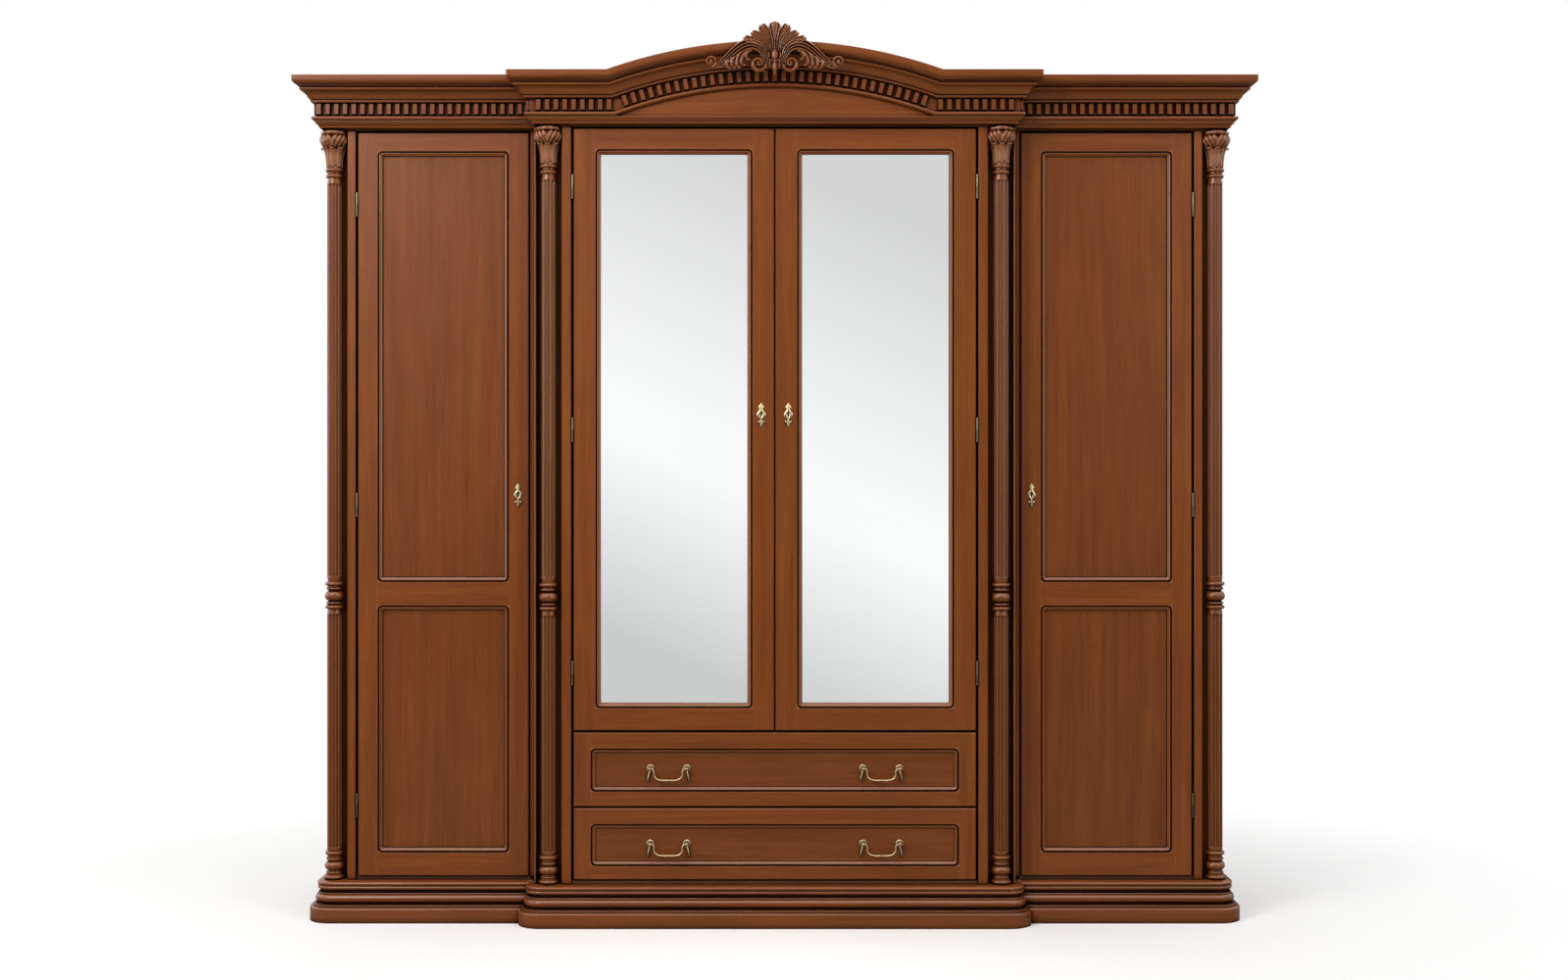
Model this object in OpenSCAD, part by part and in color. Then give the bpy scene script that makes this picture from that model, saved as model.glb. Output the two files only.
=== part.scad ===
// Four-door breakfront armoire: a centre block with two mirror doors over two drawers, and a wing
// on each side. X runs along the front, Y runs from front to back, Z is up.
// The origin is on the floor, at the middle of the overall box.

/* [Plan] */
// Distance from the middle to each outer column's axis
outer_column_x = 1117.5; // [1100:0.5:1130]
// Distance from the middle to each inner column's axis
inner_column_x = 567; // [562:0.5:570]
// How far the centre block stands in front of the wings
centre_step = 60; // [50:1:70]
// Front of the crest to the back of the cabinet
total_depth = 660; // [600:5:720]

/* [Heights] */
// Top of the base mouldings
base_top = 101; // [100:1:103]
// Top of the doors
door_top = 1991; // [1970:1:1991]
// Bottom of the mirror doors
mirror_door_bottom = 486; // [484:1:500]
// Top of the cornice slab where it is level
slab_top = 2124; // [2120:1:2200]

/* [Cornice arch] */
// Half of the arch's span at the top of the slab
arch_half_span = 415; // [380:1:440]
// Rise of the arch
arch_rise = 71; // [50:1:80]

/* [Doors and drawers] */
// Thickness of door frames and drawer fronts
door_t = 24; // [20:1:28]
// Width of the wing doors' stiles
stile_w = 50; // [45:1:60]
// Opening angle shown for the doors, 0 is shut
preview_angle = 0; // [0:1:105]

/* [Columns] */
// Radius of the column shafts
shaft_r = 18.5; // [17:0.5:20]

/* [Hardware] */
// Distance between a handle's two posts
post_spacing = 91.5; // [80:0.5:100]
// Radius of the hinge knuckles
knuckle_r = 2.6; // [2:0.1:2.7]
// Radius of the hinge and bail pins
pin_r = 1.2; // [1:0.1:1.4]

/* [Hidden] */

$fn = 48;
wood = "#6b2f1c";
dark_wood = "#54250f";
pale_wood = "#a8764a";
brass = "#a08045";
silver = "#c8ccd0";

// Plan lines. A moulding's reach is measured outwards from the line through the column axes.
face_reach = 16.5;
slab_reach = 88;
plinth_reach = 61;
crest_t = 18;
back_y = total_depth / 2;
// The centre block's mouldings return past its columns
centre_base_x = inner_column_x + 15;
centre_cornice_x = inner_column_x + 7;
centre_axis_y = crest_t + slab_reach - total_depth / 2;
wing_axis_y = centre_axis_y + centre_step;
centre_face = centre_axis_y - face_reach;
wing_face = wing_axis_y - face_reach;
panel_back_t = 12;
inside_back = back_y - panel_back_t;

// Carcass
board_t = 20;
partition_t = 24;
partition_x = 601.5;
side_x = outer_column_x + 12;
post_depth = 60;
column_recess = 50;
floor_top = 109.5;
floor_z = base_top + 0.3;
top_board_z = 1996;
hinge_gap = 6;
mirror_door_edge = 503;
wing_door_inner = 623;
wing_door_outer = 1055;
centre_strip_w = 24;
wing_strip_w = 21;
jamb_edge = 619.5;

// Doors and drawers
wing_door_bottom = 110.5;
wing_mid_rail = [794.5, 854];
wing_rails = [169.5, 1944];
mirror_opening = [[69, 555], [435, 1926]];
meeting_gap = 1.5;
mirror_recess = 9;
panel_recess = 8;
lower_drawer_z = [113, 292];
upper_drawer_z = [296, 481];
drawer_panel_x = 460;
dust_board_z = 464;
lower_panel_z = [147, 252];
upper_panel_z = [333, 441];
drawer_recess = 7;
drawer_box_x = 501;
box_t = 12;
lower_box_z = [126, 272];
upper_box_z = [313, 459];
handle_x = 266;
upper_handle_z = 391;
lower_handle_z = 203;
bail_axis_y = centre_face - 10;

// Hinges
hinge_l = 30;
leaf_t = 1.8;
wing_hinge_z = [290, 1050, 1810];
mirror_hinge_z = [630, 1238, 1846];
lock_h = 70;
wing_lock_z = 1074;
mirror_lock_z = 1275;

// Far enough past the mouldings for the mitre cuts
far = 260;
near = 60;
// Joint left between the lengths of moulding
saw_kerf = 0.3;

// ---- Outlines ----

// Points of an arc about [cx, cz]
function arc(cx, cz, r, a0, a1, n = 8) =
    [for (i = [0:n]) let (a = a0 + (a1 - a0) * i / n) [cx + r * cos(a), cz + r * sin(a)]];

// A half-round bead that reaches out to [reach, z]
function bead(reach, z, r, n = 8) = arc(reach - r, z, r, -90, 90, n);

// Base mouldings as [reach, z], from a given inner face
function base_outline(inner) = concat(
    [[inner, 0], [plinth_reach, 0]],
    arc(plinth_reach - 4, 33, 4, 0, 90, 4),
    [[52, 37], [52, 43], [40, 43], [40, 46]],
    bead(47, 57.5, 11, 12),
    [[40, 69], [40, 71.5], [30, 71.5], [30, 79]],
    bead(42, 84.5, 5),
    bead(42, 94.5, 5),
    [[34, 99.5], [30, base_top], [inner, base_top]]
);

// The level lower part of the cornice: soffit and ovolo
function cornice_foot(inner) = concat(
    [[inner, top_board_z], [face_reach, top_board_z], [face_reach, 2000], [31.7, 2000], [31.7, 2006]],
    arc(31.7, 2014.5, 8.5, -90, 0, 6),
    [[43, 2014.5], [43, 2017], [inner, 2017]]
);

// The upper part, which follows the arch: bead, dentil band, bead, cove and slab
function cornice_head(inner) = concat(
    [[inner, 2017], [42, 2017]],
    bead(48.5, 2023, 4.5),
    [[36, 2028], [36, 2061]],
    bead(50, 2065, 3.5),
    [[52, 2069], [55.5, 2070]],
    arc(75, 2070, 19.5, 180, 100, 8),
    [[72.4, 2090.7], [72.4, 2095], [68, 2095], [68, 2098], [73, 2098], [73, 2101]],
    [[79.2, 2101], [79.2, 2103]],
    arc(79.2, 2111.8, 8.8, -90, 0, 6),
    [[slab_reach, slab_top], [inner, slab_top]]
);

function mirrored(points) = [for (p = points) [-p[0], p[1]]];

// Column as [radius, z]
function column_outline() = concat(
    [[0, base_top], [24, base_top]],
    bead(26, 106.5, 5.3, 6),
    [[20, 112.5], [20, 115.5]],
    bead(21, 118.5, 3, 6),
    [[18, 122]],
    arc(13, 135.3, 11.5, -72, 72, 8),
    [[18, 149]],
    bead(21, 152.5, 3, 6),
    [[18, 156], [18, 162]],
    bead(23.5, 167.5, 5, 6),
    [[17.5, 173], [shaft_r, 177], [shaft_r, 776], [17.5, 781], [17.5, 785.5]],
    bead(24, 790.5, 4.5, 6),
    [[17.5, 796]],
    bead(21, 800.8, 3, 6),
    arc(11.5, 818.5, 13, -75, 75, 8),
    bead(21, 837.5, 3, 6),
    [[17.5, 843]],
    bead(24, 849.5, 4.5, 6),
    [[17.5, 855], [17.5, 858], [shaft_r, 864], [shaft_r - 0.5, 1866], [17, 1872]],
    bead(22, 1882, 5, 6),
    [[18, 1888]],
    bead(23, 1897, 5, 6),
    [[18, 1902.5], [0, 1902.5]]
);

// ---- Helpers ----

// Places a right-hand piece on the side asked for
module on_side(side) {
    mirror([side == "left" ? 1 : 0, 0, 0]) children();
}

module block(low, high) {
    translate(low) cube(high - low);
}

// A moulding along X that faces the front
module run_x(outline, x0, x1, axis_y) {
    translate([x0, axis_y, 0]) rotate([90, 0, 90]) linear_extrude(x1 - x0) polygon(mirrored(outline));
}

// A moulding along Y that faces +X
module run_y(outline, axis_x, y0, y1) {
    translate([axis_x, y1, 0]) rotate([90, 0, 0]) linear_extrude(y1 - y0) polygon(outline);
}

// The rounded corner between a front run and a side run
module run_corner(outline, axis_x, axis_y) {
    translate([axis_x, axis_y, 0]) rotate([0, 0, -90]) rotate_extrude(angle = 90) polygon(outline);
}

// Plan areas that cut the mouldings at their mitres
module centre_area() {
    linear_extrude(3000) polygon([
        [-centre_base_x - far, centre_axis_y - far], [centre_base_x + far, centre_axis_y - far],
        [centre_base_x + far, wing_axis_y - far], [centre_base_x - near, wing_axis_y + near],
        [near - centre_base_x, wing_axis_y + near], [-centre_base_x - far, wing_axis_y - far]
    ]);
}

module centre_front_area() {
    mitre_x = centre_cornice_x - saw_kerf;
    linear_extrude(3000) polygon([
        [-mitre_x - far, centre_axis_y - far], [mitre_x + far, centre_axis_y - far],
        [mitre_x - near, centre_axis_y + near], [near - mitre_x, centre_axis_y + near]
    ]);
}

module centre_return_area() {
    linear_extrude(3000) polygon([
        [centre_cornice_x + far, centre_axis_y - far], [centre_cornice_x + far, wing_axis_y - far],
        [centre_cornice_x - near, wing_axis_y + near], [centre_cornice_x - near, centre_axis_y + near]
    ]);
}

module wing_area() {
    linear_extrude(3000) polygon([
        [centre_base_x + far, wing_axis_y - far], [outer_column_x + far, wing_axis_y - far],
        [outer_column_x + far, back_y], [centre_base_x - near, back_y],
        [centre_base_x - near, wing_axis_y + near]
    ]);
}

module wing_front_area() {
    mitre_x = outer_column_x - saw_kerf;
    linear_extrude(3000) polygon([
        [centre_cornice_x + far, wing_axis_y - far], [mitre_x + far, wing_axis_y - far],
        [mitre_x - near, wing_axis_y + near], [centre_cornice_x - near, wing_axis_y + near]
    ]);
}

module wing_side_area() {
    linear_extrude(3000) polygon([
        [outer_column_x + far, wing_axis_y - far], [outer_column_x + far, back_y],
        [outer_column_x - near, back_y], [outer_column_x - near, wing_axis_y + near]
    ]);
}

// ---- Base ----

module wing_base(side) {
    rail_x = centre_base_x + 34;
    color(wood) on_side(side) {
        intersection() {
            union() {
                run_x(base_outline(-20), centre_base_x, outer_column_x - saw_kerf, wing_axis_y);
                run_corner(base_outline(0), outer_column_x, wing_axis_y);
                run_y(base_outline(-20), outer_column_x, wing_axis_y + saw_kerf + 20, back_y);
                run_y(base_outline(0), outer_column_x, wing_axis_y, wing_axis_y + saw_kerf + 20);
            }
            wing_area();
        }
        block([rail_x + saw_kerf, back_y - 30, 0], [outer_column_x - 20 - saw_kerf, back_y - 10, 94]);
        block([rail_x - 20, wing_axis_y + 20 + saw_kerf, 0], [rail_x, back_y - 10, 94]);
    }
}

module centre_base() {
    rail_y = wing_axis_y + 20 + saw_kerf;
    color(wood) {
        intersection() {
            union() {
                run_x(base_outline(-20), saw_kerf - centre_base_x, centre_base_x - saw_kerf, centre_axis_y);
                for (side = ["left", "right"]) on_side(side) {
                    run_corner(base_outline(0), centre_base_x, centre_axis_y);
                    run_y(base_outline(0), centre_base_x, centre_axis_y, wing_axis_y + 20);
                }
            }
            centre_area();
        }
        for (side = ["left", "right"]) on_side(side)
            block([centre_base_x - 20, rail_y, 0], [centre_base_x, back_y - 10, 94]);
        block([20 + saw_kerf - centre_base_x, back_y - 30, 0],
              [centre_base_x - 20 - saw_kerf, back_y - 10, 94]);
    }
}

// ---- Carcass ----

module side_panel(side) {
    color(wood) on_side(side)
        block([side_x - board_t, wing_face + post_depth, base_top], [side_x, inside_back, top_board_z]);
}

module partition(side) {
    color(wood) on_side(side)
        block([partition_x - partition_t, centre_face + post_depth, floor_z],
              [partition_x, inside_back, top_board_z]);
}

// Each floor board has a narrower nose between the posts
module floor_boards() {
    gap = 0.3;
    color(pale_wood) {
        for (side = ["left", "right"]) on_side(side) {
            block([partition_x + gap, wing_face + post_depth + gap, floor_z],
                  [side_x - board_t - gap, inside_back, floor_top]);
            block([jamb_edge + gap, wing_face + 8, floor_z],
                  [wing_door_outer + hinge_gap - gap, wing_face + post_depth + gap, floor_top]);
        }
        block([partition_t - partition_x + gap, centre_face + post_depth + gap, floor_z],
              [partition_x - partition_t - gap, inside_back, floor_top]);
        block([gap - mirror_door_edge - hinge_gap, centre_face + 8, floor_z],
              [mirror_door_edge + hinge_gap - gap, centre_face + post_depth + gap, floor_top]);
    }
}

module top_boards() {
    gap = 0.3;
    color(pale_wood) {
        for (side = ["left", "right"]) on_side(side)
            block([partition_x + 1, wing_axis_y + 20 + gap, top_board_z],
                  [outer_column_x - 20 - gap, back_y, 2014]);
        difference() {
            block([-partition_x + 50, centre_axis_y + 20 + gap, top_board_z],
                  [partition_x - 50, back_y, 2014]);
            block([-30, centre_axis_y + 15, top_board_z - 1], [-14, centre_face + 60, top_board_z + 12]);
        }
        for (side = ["left", "right"]) on_side(side)
            block([partition_x - 50 + gap, wing_axis_y + 20 + gap, top_board_z], [partition_x, back_y, 2014]);
    }
}

module back_boards() {
    low = base_top + 0.3;
    high = top_board_z - 0.3;
    middle = partition_x - partition_t / 2;
    color(pale_wood) {
        for (side = ["left", "right"]) on_side(side)
            block([middle + 1, inside_back, low], [side_x, back_y, high]);
        block([-middle, inside_back, low], [middle, back_y, high]);
    }
}

// The outer post with its pilaster strip, notched for the column, and the jamb that takes the bolt
module wing_posts(side) {
    strip_x = wing_door_outer + hinge_gap;
    color(wood) on_side(side) {
        block([strip_x, wing_face, base_top], [strip_x + wing_strip_w, wing_face + post_depth, top_board_z]);
        block([strip_x + wing_strip_w, wing_face + column_recess, base_top],
              [side_x, wing_face + post_depth, top_board_z]);
        difference() {
            block([partition_x, wing_face + 6, floor_top], [jamb_edge, wing_face + 40, top_board_z]);
            block([jamb_edge - 10, wing_face + 26, wing_lock_z - 10],
                  [jamb_edge + 1, wing_face + 36, wing_lock_z + 10]);
        }
    }
}

// The posts of the centre block: strip, back of the column's recess, and outer cheek
module centre_posts() {
    strip_x = mirror_door_edge + hinge_gap;
    color(wood) for (side = ["left", "right"]) on_side(side) {
        block([strip_x, centre_face, base_top],
              [strip_x + centre_strip_w, centre_face + post_depth, top_board_z]);
        block([strip_x + centre_strip_w, centre_face + column_recess, base_top],
              [partition_x, centre_face + post_depth, top_board_z]);
        block([partition_x - 3, centre_face + 6, base_top],
              [partition_x, centre_face + column_recess, top_board_z]);
    }
}

// ---- Cornice ----

module wing_cornice(side) {
    color(wood) on_side(side) for (outline = [cornice_foot(-20), cornice_head(-20)]) {
        intersection() {
            run_x(outline, inner_column_x - near, outer_column_x + far, wing_axis_y);
            wing_front_area();
        }
        intersection() {
            run_y(outline, outer_column_x, wing_axis_y - far, back_y);
            wing_side_area();
        }
    }
}

slab_arch_r = (arch_half_span * arch_half_span + arch_rise * arch_rise) / (2 * arch_rise);
arch_centre_z = slab_top + arch_rise - slab_arch_r;

// Radius of the arch at a moulding's level height, and where it meets the level run
function arch_r(z) = slab_arch_r - (slab_top - z);
function arch_end_x(z) = sqrt(pow(arch_r(z), 2) - pow(z - arch_centre_z, 2));

// Front view area of the arched mouldings, between their mitres with the level runs
module arch_area(low, kerf = 0) {
    top_x = arch_end_x(slab_top) + kerf;
    low_x = arch_end_x(low) + kerf;
    lean = (top_x - low_x) / (slab_top - low);
    rotate([90, 0, 0]) translate([0, 0, -far]) linear_extrude(1000) polygon([
        [-low_x + lean * 10, low - 10], [low_x - lean * 10, low - 10],
        [top_x + lean * 200, slab_top + 200], [-top_x - lean * 200, slab_top + 200]
    ]);
}

// A sector of the arch seen from the front, swept from a [radius, reach] outline
module arch_sweep(points) {
    half_angle = 24;
    translate([0, centre_axis_y, arch_centre_z]) rotate([90, 0, 0]) rotate([0, 0, 90 - half_angle])
        rotate_extrude(angle = 2 * half_angle) polygon(points);
}

module centre_cornice() {
    low = 2017;
    arched = [for (p = cornice_head(-20)) [arch_r(p[1]), p[0]]];
    color(wood) {
        // Level mouldings, the lower one with a pocket for the top bolt
        difference() {
            intersection() {
                run_x(cornice_foot(-20), -inner_column_x - far, inner_column_x + far, centre_axis_y);
                centre_front_area();
            }
            block([-30, centre_axis_y + 10, top_board_z - 1], [-14, centre_axis_y + 21, top_board_z + 12]);
        }
        difference() {
            intersection() {
                run_x(cornice_head(-20), -inner_column_x - far, inner_column_x + far, centre_axis_y);
                centre_front_area();
            }
            arch_area(low, saw_kerf);
        }
        // Arched mouldings
        intersection() {
            arch_sweep(arched);
            arch_area(low);
        }
        // Tympanum
        difference() {
            intersection() {
                block([-arch_half_span, centre_axis_y - 38, low - 2],
                      [arch_half_span, centre_axis_y - 17, 2110]);
                arch_area(low);
            }
            arch_sweep([for (c = [[3, -100], [200, -100], [200, 100], [3, 100]]) [arch_r(low) + c[0], c[1]]]);
        }
        for (side = ["left", "right"]) on_side(side) for (outline = [cornice_foot(-20), cornice_head(-20)])
            intersection() {
                run_y(outline, centre_cornice_x, centre_axis_y - far, wing_axis_y + far);
                centre_return_area();
            }
    }
}

// ---- Dentils ----

dentil = [11.7, 9.7, 27];
dentil_pitch = 22;
dentil_z = 2032;
band_reach = 36;

module dentil_block() {
    translate([-dentil[0] / 2, -dentil[1], 0]) cube(dentil);
}

module dentils() {
    arch_mid = arch_r(dentil_z);
    step_a = dentil_pitch / arch_mid * 180 / PI;
    arch_n = 17;
    flat_start = arch_end_x(dentil_z) + dentil_pitch * 0.6;
    centre_end = centre_cornice_x + band_reach - dentil[0] / 2;
    wing_start = centre_cornice_x + band_reach + dentil_pitch;
    wing_end = outer_column_x + band_reach - dentil[0] / 2;
    color(wood) {
        for (i = [-arch_n:arch_n])
            translate([0, centre_axis_y - band_reach, arch_centre_z]) rotate([0, i * step_a, 0])
                translate([0, 0, arch_mid]) dentil_block();
        for (side = ["left", "right"]) on_side(side) {
            for (x = [flat_start:dentil_pitch:centre_end])
                translate([x, centre_axis_y - band_reach, dentil_z]) dentil_block();
            for (i = [0:1])
                translate([centre_cornice_x + band_reach, centre_axis_y - 27 + i * dentil_pitch, dentil_z])
                    rotate([0, 0, 90]) dentil_block();
            for (x = [wing_end:-dentil_pitch:wing_start])
                translate([x, wing_axis_y - band_reach, dentil_z]) dentil_block();
            for (i = [0:21])
                translate([outer_column_x + band_reach, wing_axis_y - 24 + i * dentil_pitch, dentil_z])
                    rotate([0, 0, 90]) dentil_block();
        }
    }
}

// ---- Crest ----

crest_back = crest_t - total_depth / 2;
shell_z = slab_top + arch_rise - 21;

module crest_plate(depth) {
    translate([0, crest_back, 0]) rotate([90, 0, 0]) linear_extrude(depth) children();
}

// One curl of the scroll: part of a ring between two angles
module curl(x, z, r, w, a0, a1) {
    translate([x, z]) difference() {
        circle(r);
        circle(r - w);
        polygon(concat([[0, 0]], arc(0, 0, 2 * r, a1, a0 + 360, 12)));
    }
}

module crest() {
    color(dark_wood) crest_plate(crest_t) {
        // Shell
        polygon(concat([[-14, shell_z - 6]],
            [for (lobe = [-3:3]) each arc(58 * sin(lobe * 24), shell_z + 58 * cos(lobe * 24) - 4, 11,
                                          170 - lobe * 24, 10 - lobe * 24, 6)],
            [[14, shell_z - 6]]));
        // Drop
        translate([0, shell_z - 15]) circle(9);
        translate([0, shell_z - 34]) circle(8);
        translate([0, shell_z - 50]) circle(8);
        polygon([[-5, shell_z - 10], [5, shell_z - 10], [4, shell_z - 60], [0, shell_z - 62],
                 [-4, shell_z - 60]]);
        // Scrolls
        for (s = [0, 1]) mirror([s, 0]) {
            curl(46, shell_z - 36, 17, 9, -200, 100);
            curl(72, shell_z - 44, 58, 17, 20, 150);
            curl(150, shell_z - 17, 26, 11, -190, 10);
            translate([160, shell_z - 30]) circle(15);
            translate([43, shell_z - 37]) circle(10);
            translate([82, shell_z - 40]) circle(11);
            translate([0, shell_z]) polygon([[8, -8], [60, 0], [88, -34], [60, -24], [30, -40]]);
        }
    }
    // Block that seats the carving on the slab
    color(dark_wood)
        block([-50, crest_back - 1, slab_top + arch_rise + 0.3],
              [50, crest_back + 14, slab_top + arch_rise + 22]);
}

// ---- Columns and capitals ----

module column(side, x, axis_y) {
    color(wood) on_side(side) translate([x, axis_y, 0]) rotate_extrude() polygon(column_outline());
}

// Bell and abacus that carry the carved leaves, trimmed to the recess behind and to each side
module capital(x, axis_y, inner_room, outer_room) {
    translate([x, axis_y, 1902.7]) intersection() {
        rotate_extrude() polygon([
            [0, 0], [20, 0], [19, 20], [22, 44], [29, 62], [35.5, 74], [35.5, 80], [33, 85], [33, 93], [0, 93]
        ]);
        block([-inner_room, -60, -1], [outer_room, 33, 94]);
    }
}

module capitals() {
    color(dark_wood) for (side = ["left", "right"]) on_side(side) {
        capital(inner_column_x, centre_axis_y, 33.5, 31);
        capital(outer_column_x, wing_axis_y, 35.2, 60);
    }
}

// ---- Inside ----

module shelves() {
    color(pale_wood) {
        for (z = [460, 840, 1220, 1600])
            block([1 - side_x + board_t, wing_face + post_depth + 2, z],
                  [-partition_x - 1, inside_back - 1, z + 20]);
        block([partition_x + 1, wing_face + post_depth + 2, 1710],
              [side_x - board_t - 1, inside_back - 1, 1730]);
        block([partition_t - partition_x + 1, centre_face + post_depth + 2, 1710],
              [partition_x - partition_t - 1, inside_back - 1, 1730]);
    }
}

module rod(x0, x1, z) {
    translate([x0, 90, z]) rotate([0, 90, 0]) {
        cylinder(h = x1 - x0, r = 12.5);
        cylinder(h = 7, r = 21);
        translate([0, 0, x1 - x0 - 7]) cylinder(h = 7, r = 21);
    }
}

module hanging_rods() {
    color(brass) {
        rod(partition_x, side_x - board_t, 1640);
        rod(partition_t - partition_x, partition_x - partition_t, 1640);
    }
}

// Ledges that the drawer sides ride on, with a guide beside each
module drawer_runners() {
    color(pale_wood) for (side = ["left", "right"]) on_side(side) for (z = [lower_box_z[0], upper_box_z[0]]) {
        block([484, centre_face + post_depth + 1, z - 14],
              [partition_x - partition_t, inside_back - 1, z - 0.4]);
        block([504, centre_face + post_depth + 1, z], [516, inside_back - 1, z + 40]);
    }
}

// The dust board under the cupboard, and the rail between the drawers
module drawer_dividers() {
    color(pale_wood) {
        block([partition_t - partition_x, centre_face + post_depth, dust_board_z],
              [partition_x - partition_t, inside_back, dust_board_z + 20]);
        for (z = [[dust_board_z, dust_board_z + 19], [275, 310]])
            block([-508, centre_face + door_t + 2, z[0]], [508, centre_face + post_depth - 1, z[1]]);
    }
}

// ---- Hinges ----

// Lower half: knuckle, pin and the leaf on the post. The origin is the axis at mid height.
module hinge_fixed() {
    translate([0, 0, -hinge_l]) cylinder(h = hinge_l - 0.2, r = knuckle_r);
    translate([0, 0, -1]) cylinder(h = hinge_l - 2, r = pin_r);
    block([0.6, -0.8, -hinge_l], [hinge_gap / 2, 1, -0.2]);
    block([hinge_gap / 2 - leaf_t, -0.8, -hinge_l], [hinge_gap / 2, door_t - 4, -0.2]);
}

// Upper half: bored knuckle and the leaf on the door
module hinge_moving() {
    difference() {
        union() {
            translate([0, 0, 0.2]) cylinder(h = hinge_l - 0.2, r = knuckle_r);
            block([-hinge_gap / 2, -0.8, 0.2], [-0.6, 1, hinge_l]);
        }
        translate([0, 0, -1]) cylinder(h = hinge_l + 2, r = pin_r + 0.05);
    }
    block([-hinge_gap / 2, -0.8, 0.2], [leaf_t - hinge_gap / 2, door_t - 4, hinge_l]);
}

module mirror_hinge_places() {
    for (z = mirror_hinge_z) translate([mirror_door_edge + hinge_gap / 2, centre_face, z]) children();
}

module wing_hinge_places() {
    for (z = wing_hinge_z) translate([wing_door_outer + hinge_gap / 2, wing_face, z]) children();
}

module hinge_pins() {
    color(brass) for (side = ["left", "right"]) on_side(side) {
        mirror_hinge_places() hinge_fixed();
        wing_hinge_places() hinge_fixed();
    }
}

// Puts a door's pieces at the preview angle
module on_door(side, axis_x, axis_y) {
    on_side(side) translate([axis_x, axis_y, 0]) rotate([0, 0, preview_angle])
        translate([-axis_x, -axis_y, 0]) children();
}

module on_wing_door(side) {
    on_door(side, wing_door_outer + hinge_gap / 2, wing_face) children();
}

module on_mirror_door(side) {
    on_door(side, mirror_door_edge + hinge_gap / 2, centre_face) children();
}

// ---- Wing doors ----

wing_panel_x = [wing_door_inner + stile_w, wing_door_outer - stile_w];

module wing_opening(z) {
    block([wing_panel_x[0], wing_face - 1, z[0]], [wing_panel_x[1], wing_face + door_t + 1, z[1]]);
}

module wing_door_frame(side) {
    color(wood) on_wing_door(side) difference() {
        block([wing_door_inner, wing_face, wing_door_bottom], [wing_door_outer, wing_face + door_t, door_top]);
        wing_opening([wing_rails[0], wing_mid_rail[0]]);
        wing_opening([wing_mid_rail[1], wing_rails[1]]);
    }
}

module wing_door_panels(side) {
    color(dark_wood) on_wing_door(side)
        for (z = [[wing_rails[0], wing_mid_rail[0]], [wing_mid_rail[1], wing_rails[1]]])
            block([wing_panel_x[0], wing_face + panel_recess, z[0]],
                  [wing_panel_x[1], wing_face + panel_recess + 11, z[1]]);
}

// An escutcheon: arrow cap, body and drop, standing on a door's face
module escutcheon(x, face_y, z) {
    translate([x, face_y, z]) rotate([90, 0, 0]) linear_extrude(2) {
        polygon([[0, 32], [-8, 21], [-3, 22], [-3, 16], [-11, 2], [-8, -8], [-4, -16], [-4, -22], [0, -31],
                 [4, -22], [4, -16], [8, -8], [11, 2], [3, 16], [3, 22], [8, 21]]);
    }
}

// A lock case on the back of a stile, hollow along X for its bolt
module lock_case(x0, x1, y, z) {
    difference() {
        block([x0, y, z - lock_h / 2], [x1, y + 14, z + lock_h / 2]);
        block([x0 - 1, y + 3.5, z - 7.5], [x1 - 6, y + 10.5, z + 7.5]);
    }
}

wing_lock_x = wing_door_inner + 26;

module wing_door_lock(side) {
    color(brass) on_wing_door(side) {
        escutcheon(wing_lock_x, wing_face, wing_lock_z);
        lock_case(wing_door_inner + 2, wing_door_inner + 50, wing_face + door_t, wing_lock_z);
    }
}

module wing_door_bolt(side) {
    color(brass) on_wing_door(side)
        block([wing_door_inner + 2, wing_face + door_t + 4, wing_lock_z - 7],
              [wing_door_inner + 36, wing_face + door_t + 10, wing_lock_z + 7]);
}

// ---- Mirror doors ----

module mirror_frame(side) {
    color(wood) on_mirror_door(side) difference() {
        block([meeting_gap, centre_face, mirror_door_bottom],
              [mirror_door_edge, centre_face + door_t, door_top]);
        block([mirror_opening[0][0], centre_face - 1, mirror_opening[0][1]],
              [mirror_opening[1][0], centre_face + door_t + 1, mirror_opening[1][1]]);
    }
}

module mirror_glass(side) {
    color(silver) on_mirror_door(side)
        block([mirror_opening[0][0], centre_face + mirror_recess, mirror_opening[0][1]],
              [mirror_opening[1][0], centre_face + mirror_recess + 5, mirror_opening[1][1]]);
}

module mirror_back(side) {
    color(pale_wood) on_mirror_door(side)
        block([mirror_opening[0][0], centre_face + mirror_recess + 5, mirror_opening[0][1]],
              [mirror_opening[1][0], centre_face + door_t - 2, mirror_opening[1][1]]);
}

mirror_lock_x = 34;
strike_y = centre_face + door_t;

module left_mirror_lock() {
    color(brass) on_mirror_door("left") {
        escutcheon(mirror_lock_x, centre_face, mirror_lock_z);
        // Strike for the other door's bolt
        difference() {
            block([meeting_gap + 1, strike_y, mirror_lock_z - 20],
                  [meeting_gap + 22, strike_y + 14, mirror_lock_z + 20]);
            block([meeting_gap, strike_y + 3, mirror_lock_z - 8.5],
                  [meeting_gap + 16, strike_y + 11, mirror_lock_z + 8.5]);
        }
        // Guides for the top bolt
        for (z = [1850, 1940]) difference() {
            block([13, strike_y, z], [31, strike_y + 15, z + 14]);
            block([17.5, strike_y + 3.5, z - 1], [26.5, strike_y + 12.5, z + 15]);
        }
    }
}

// The left door's bolt slides up into the top board
module left_mirror_bolt() {
    color(brass) on_mirror_door("left")
        block([18, strike_y + 4, 1830], [26, strike_y + 12, door_top - 1]);
}

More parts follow.
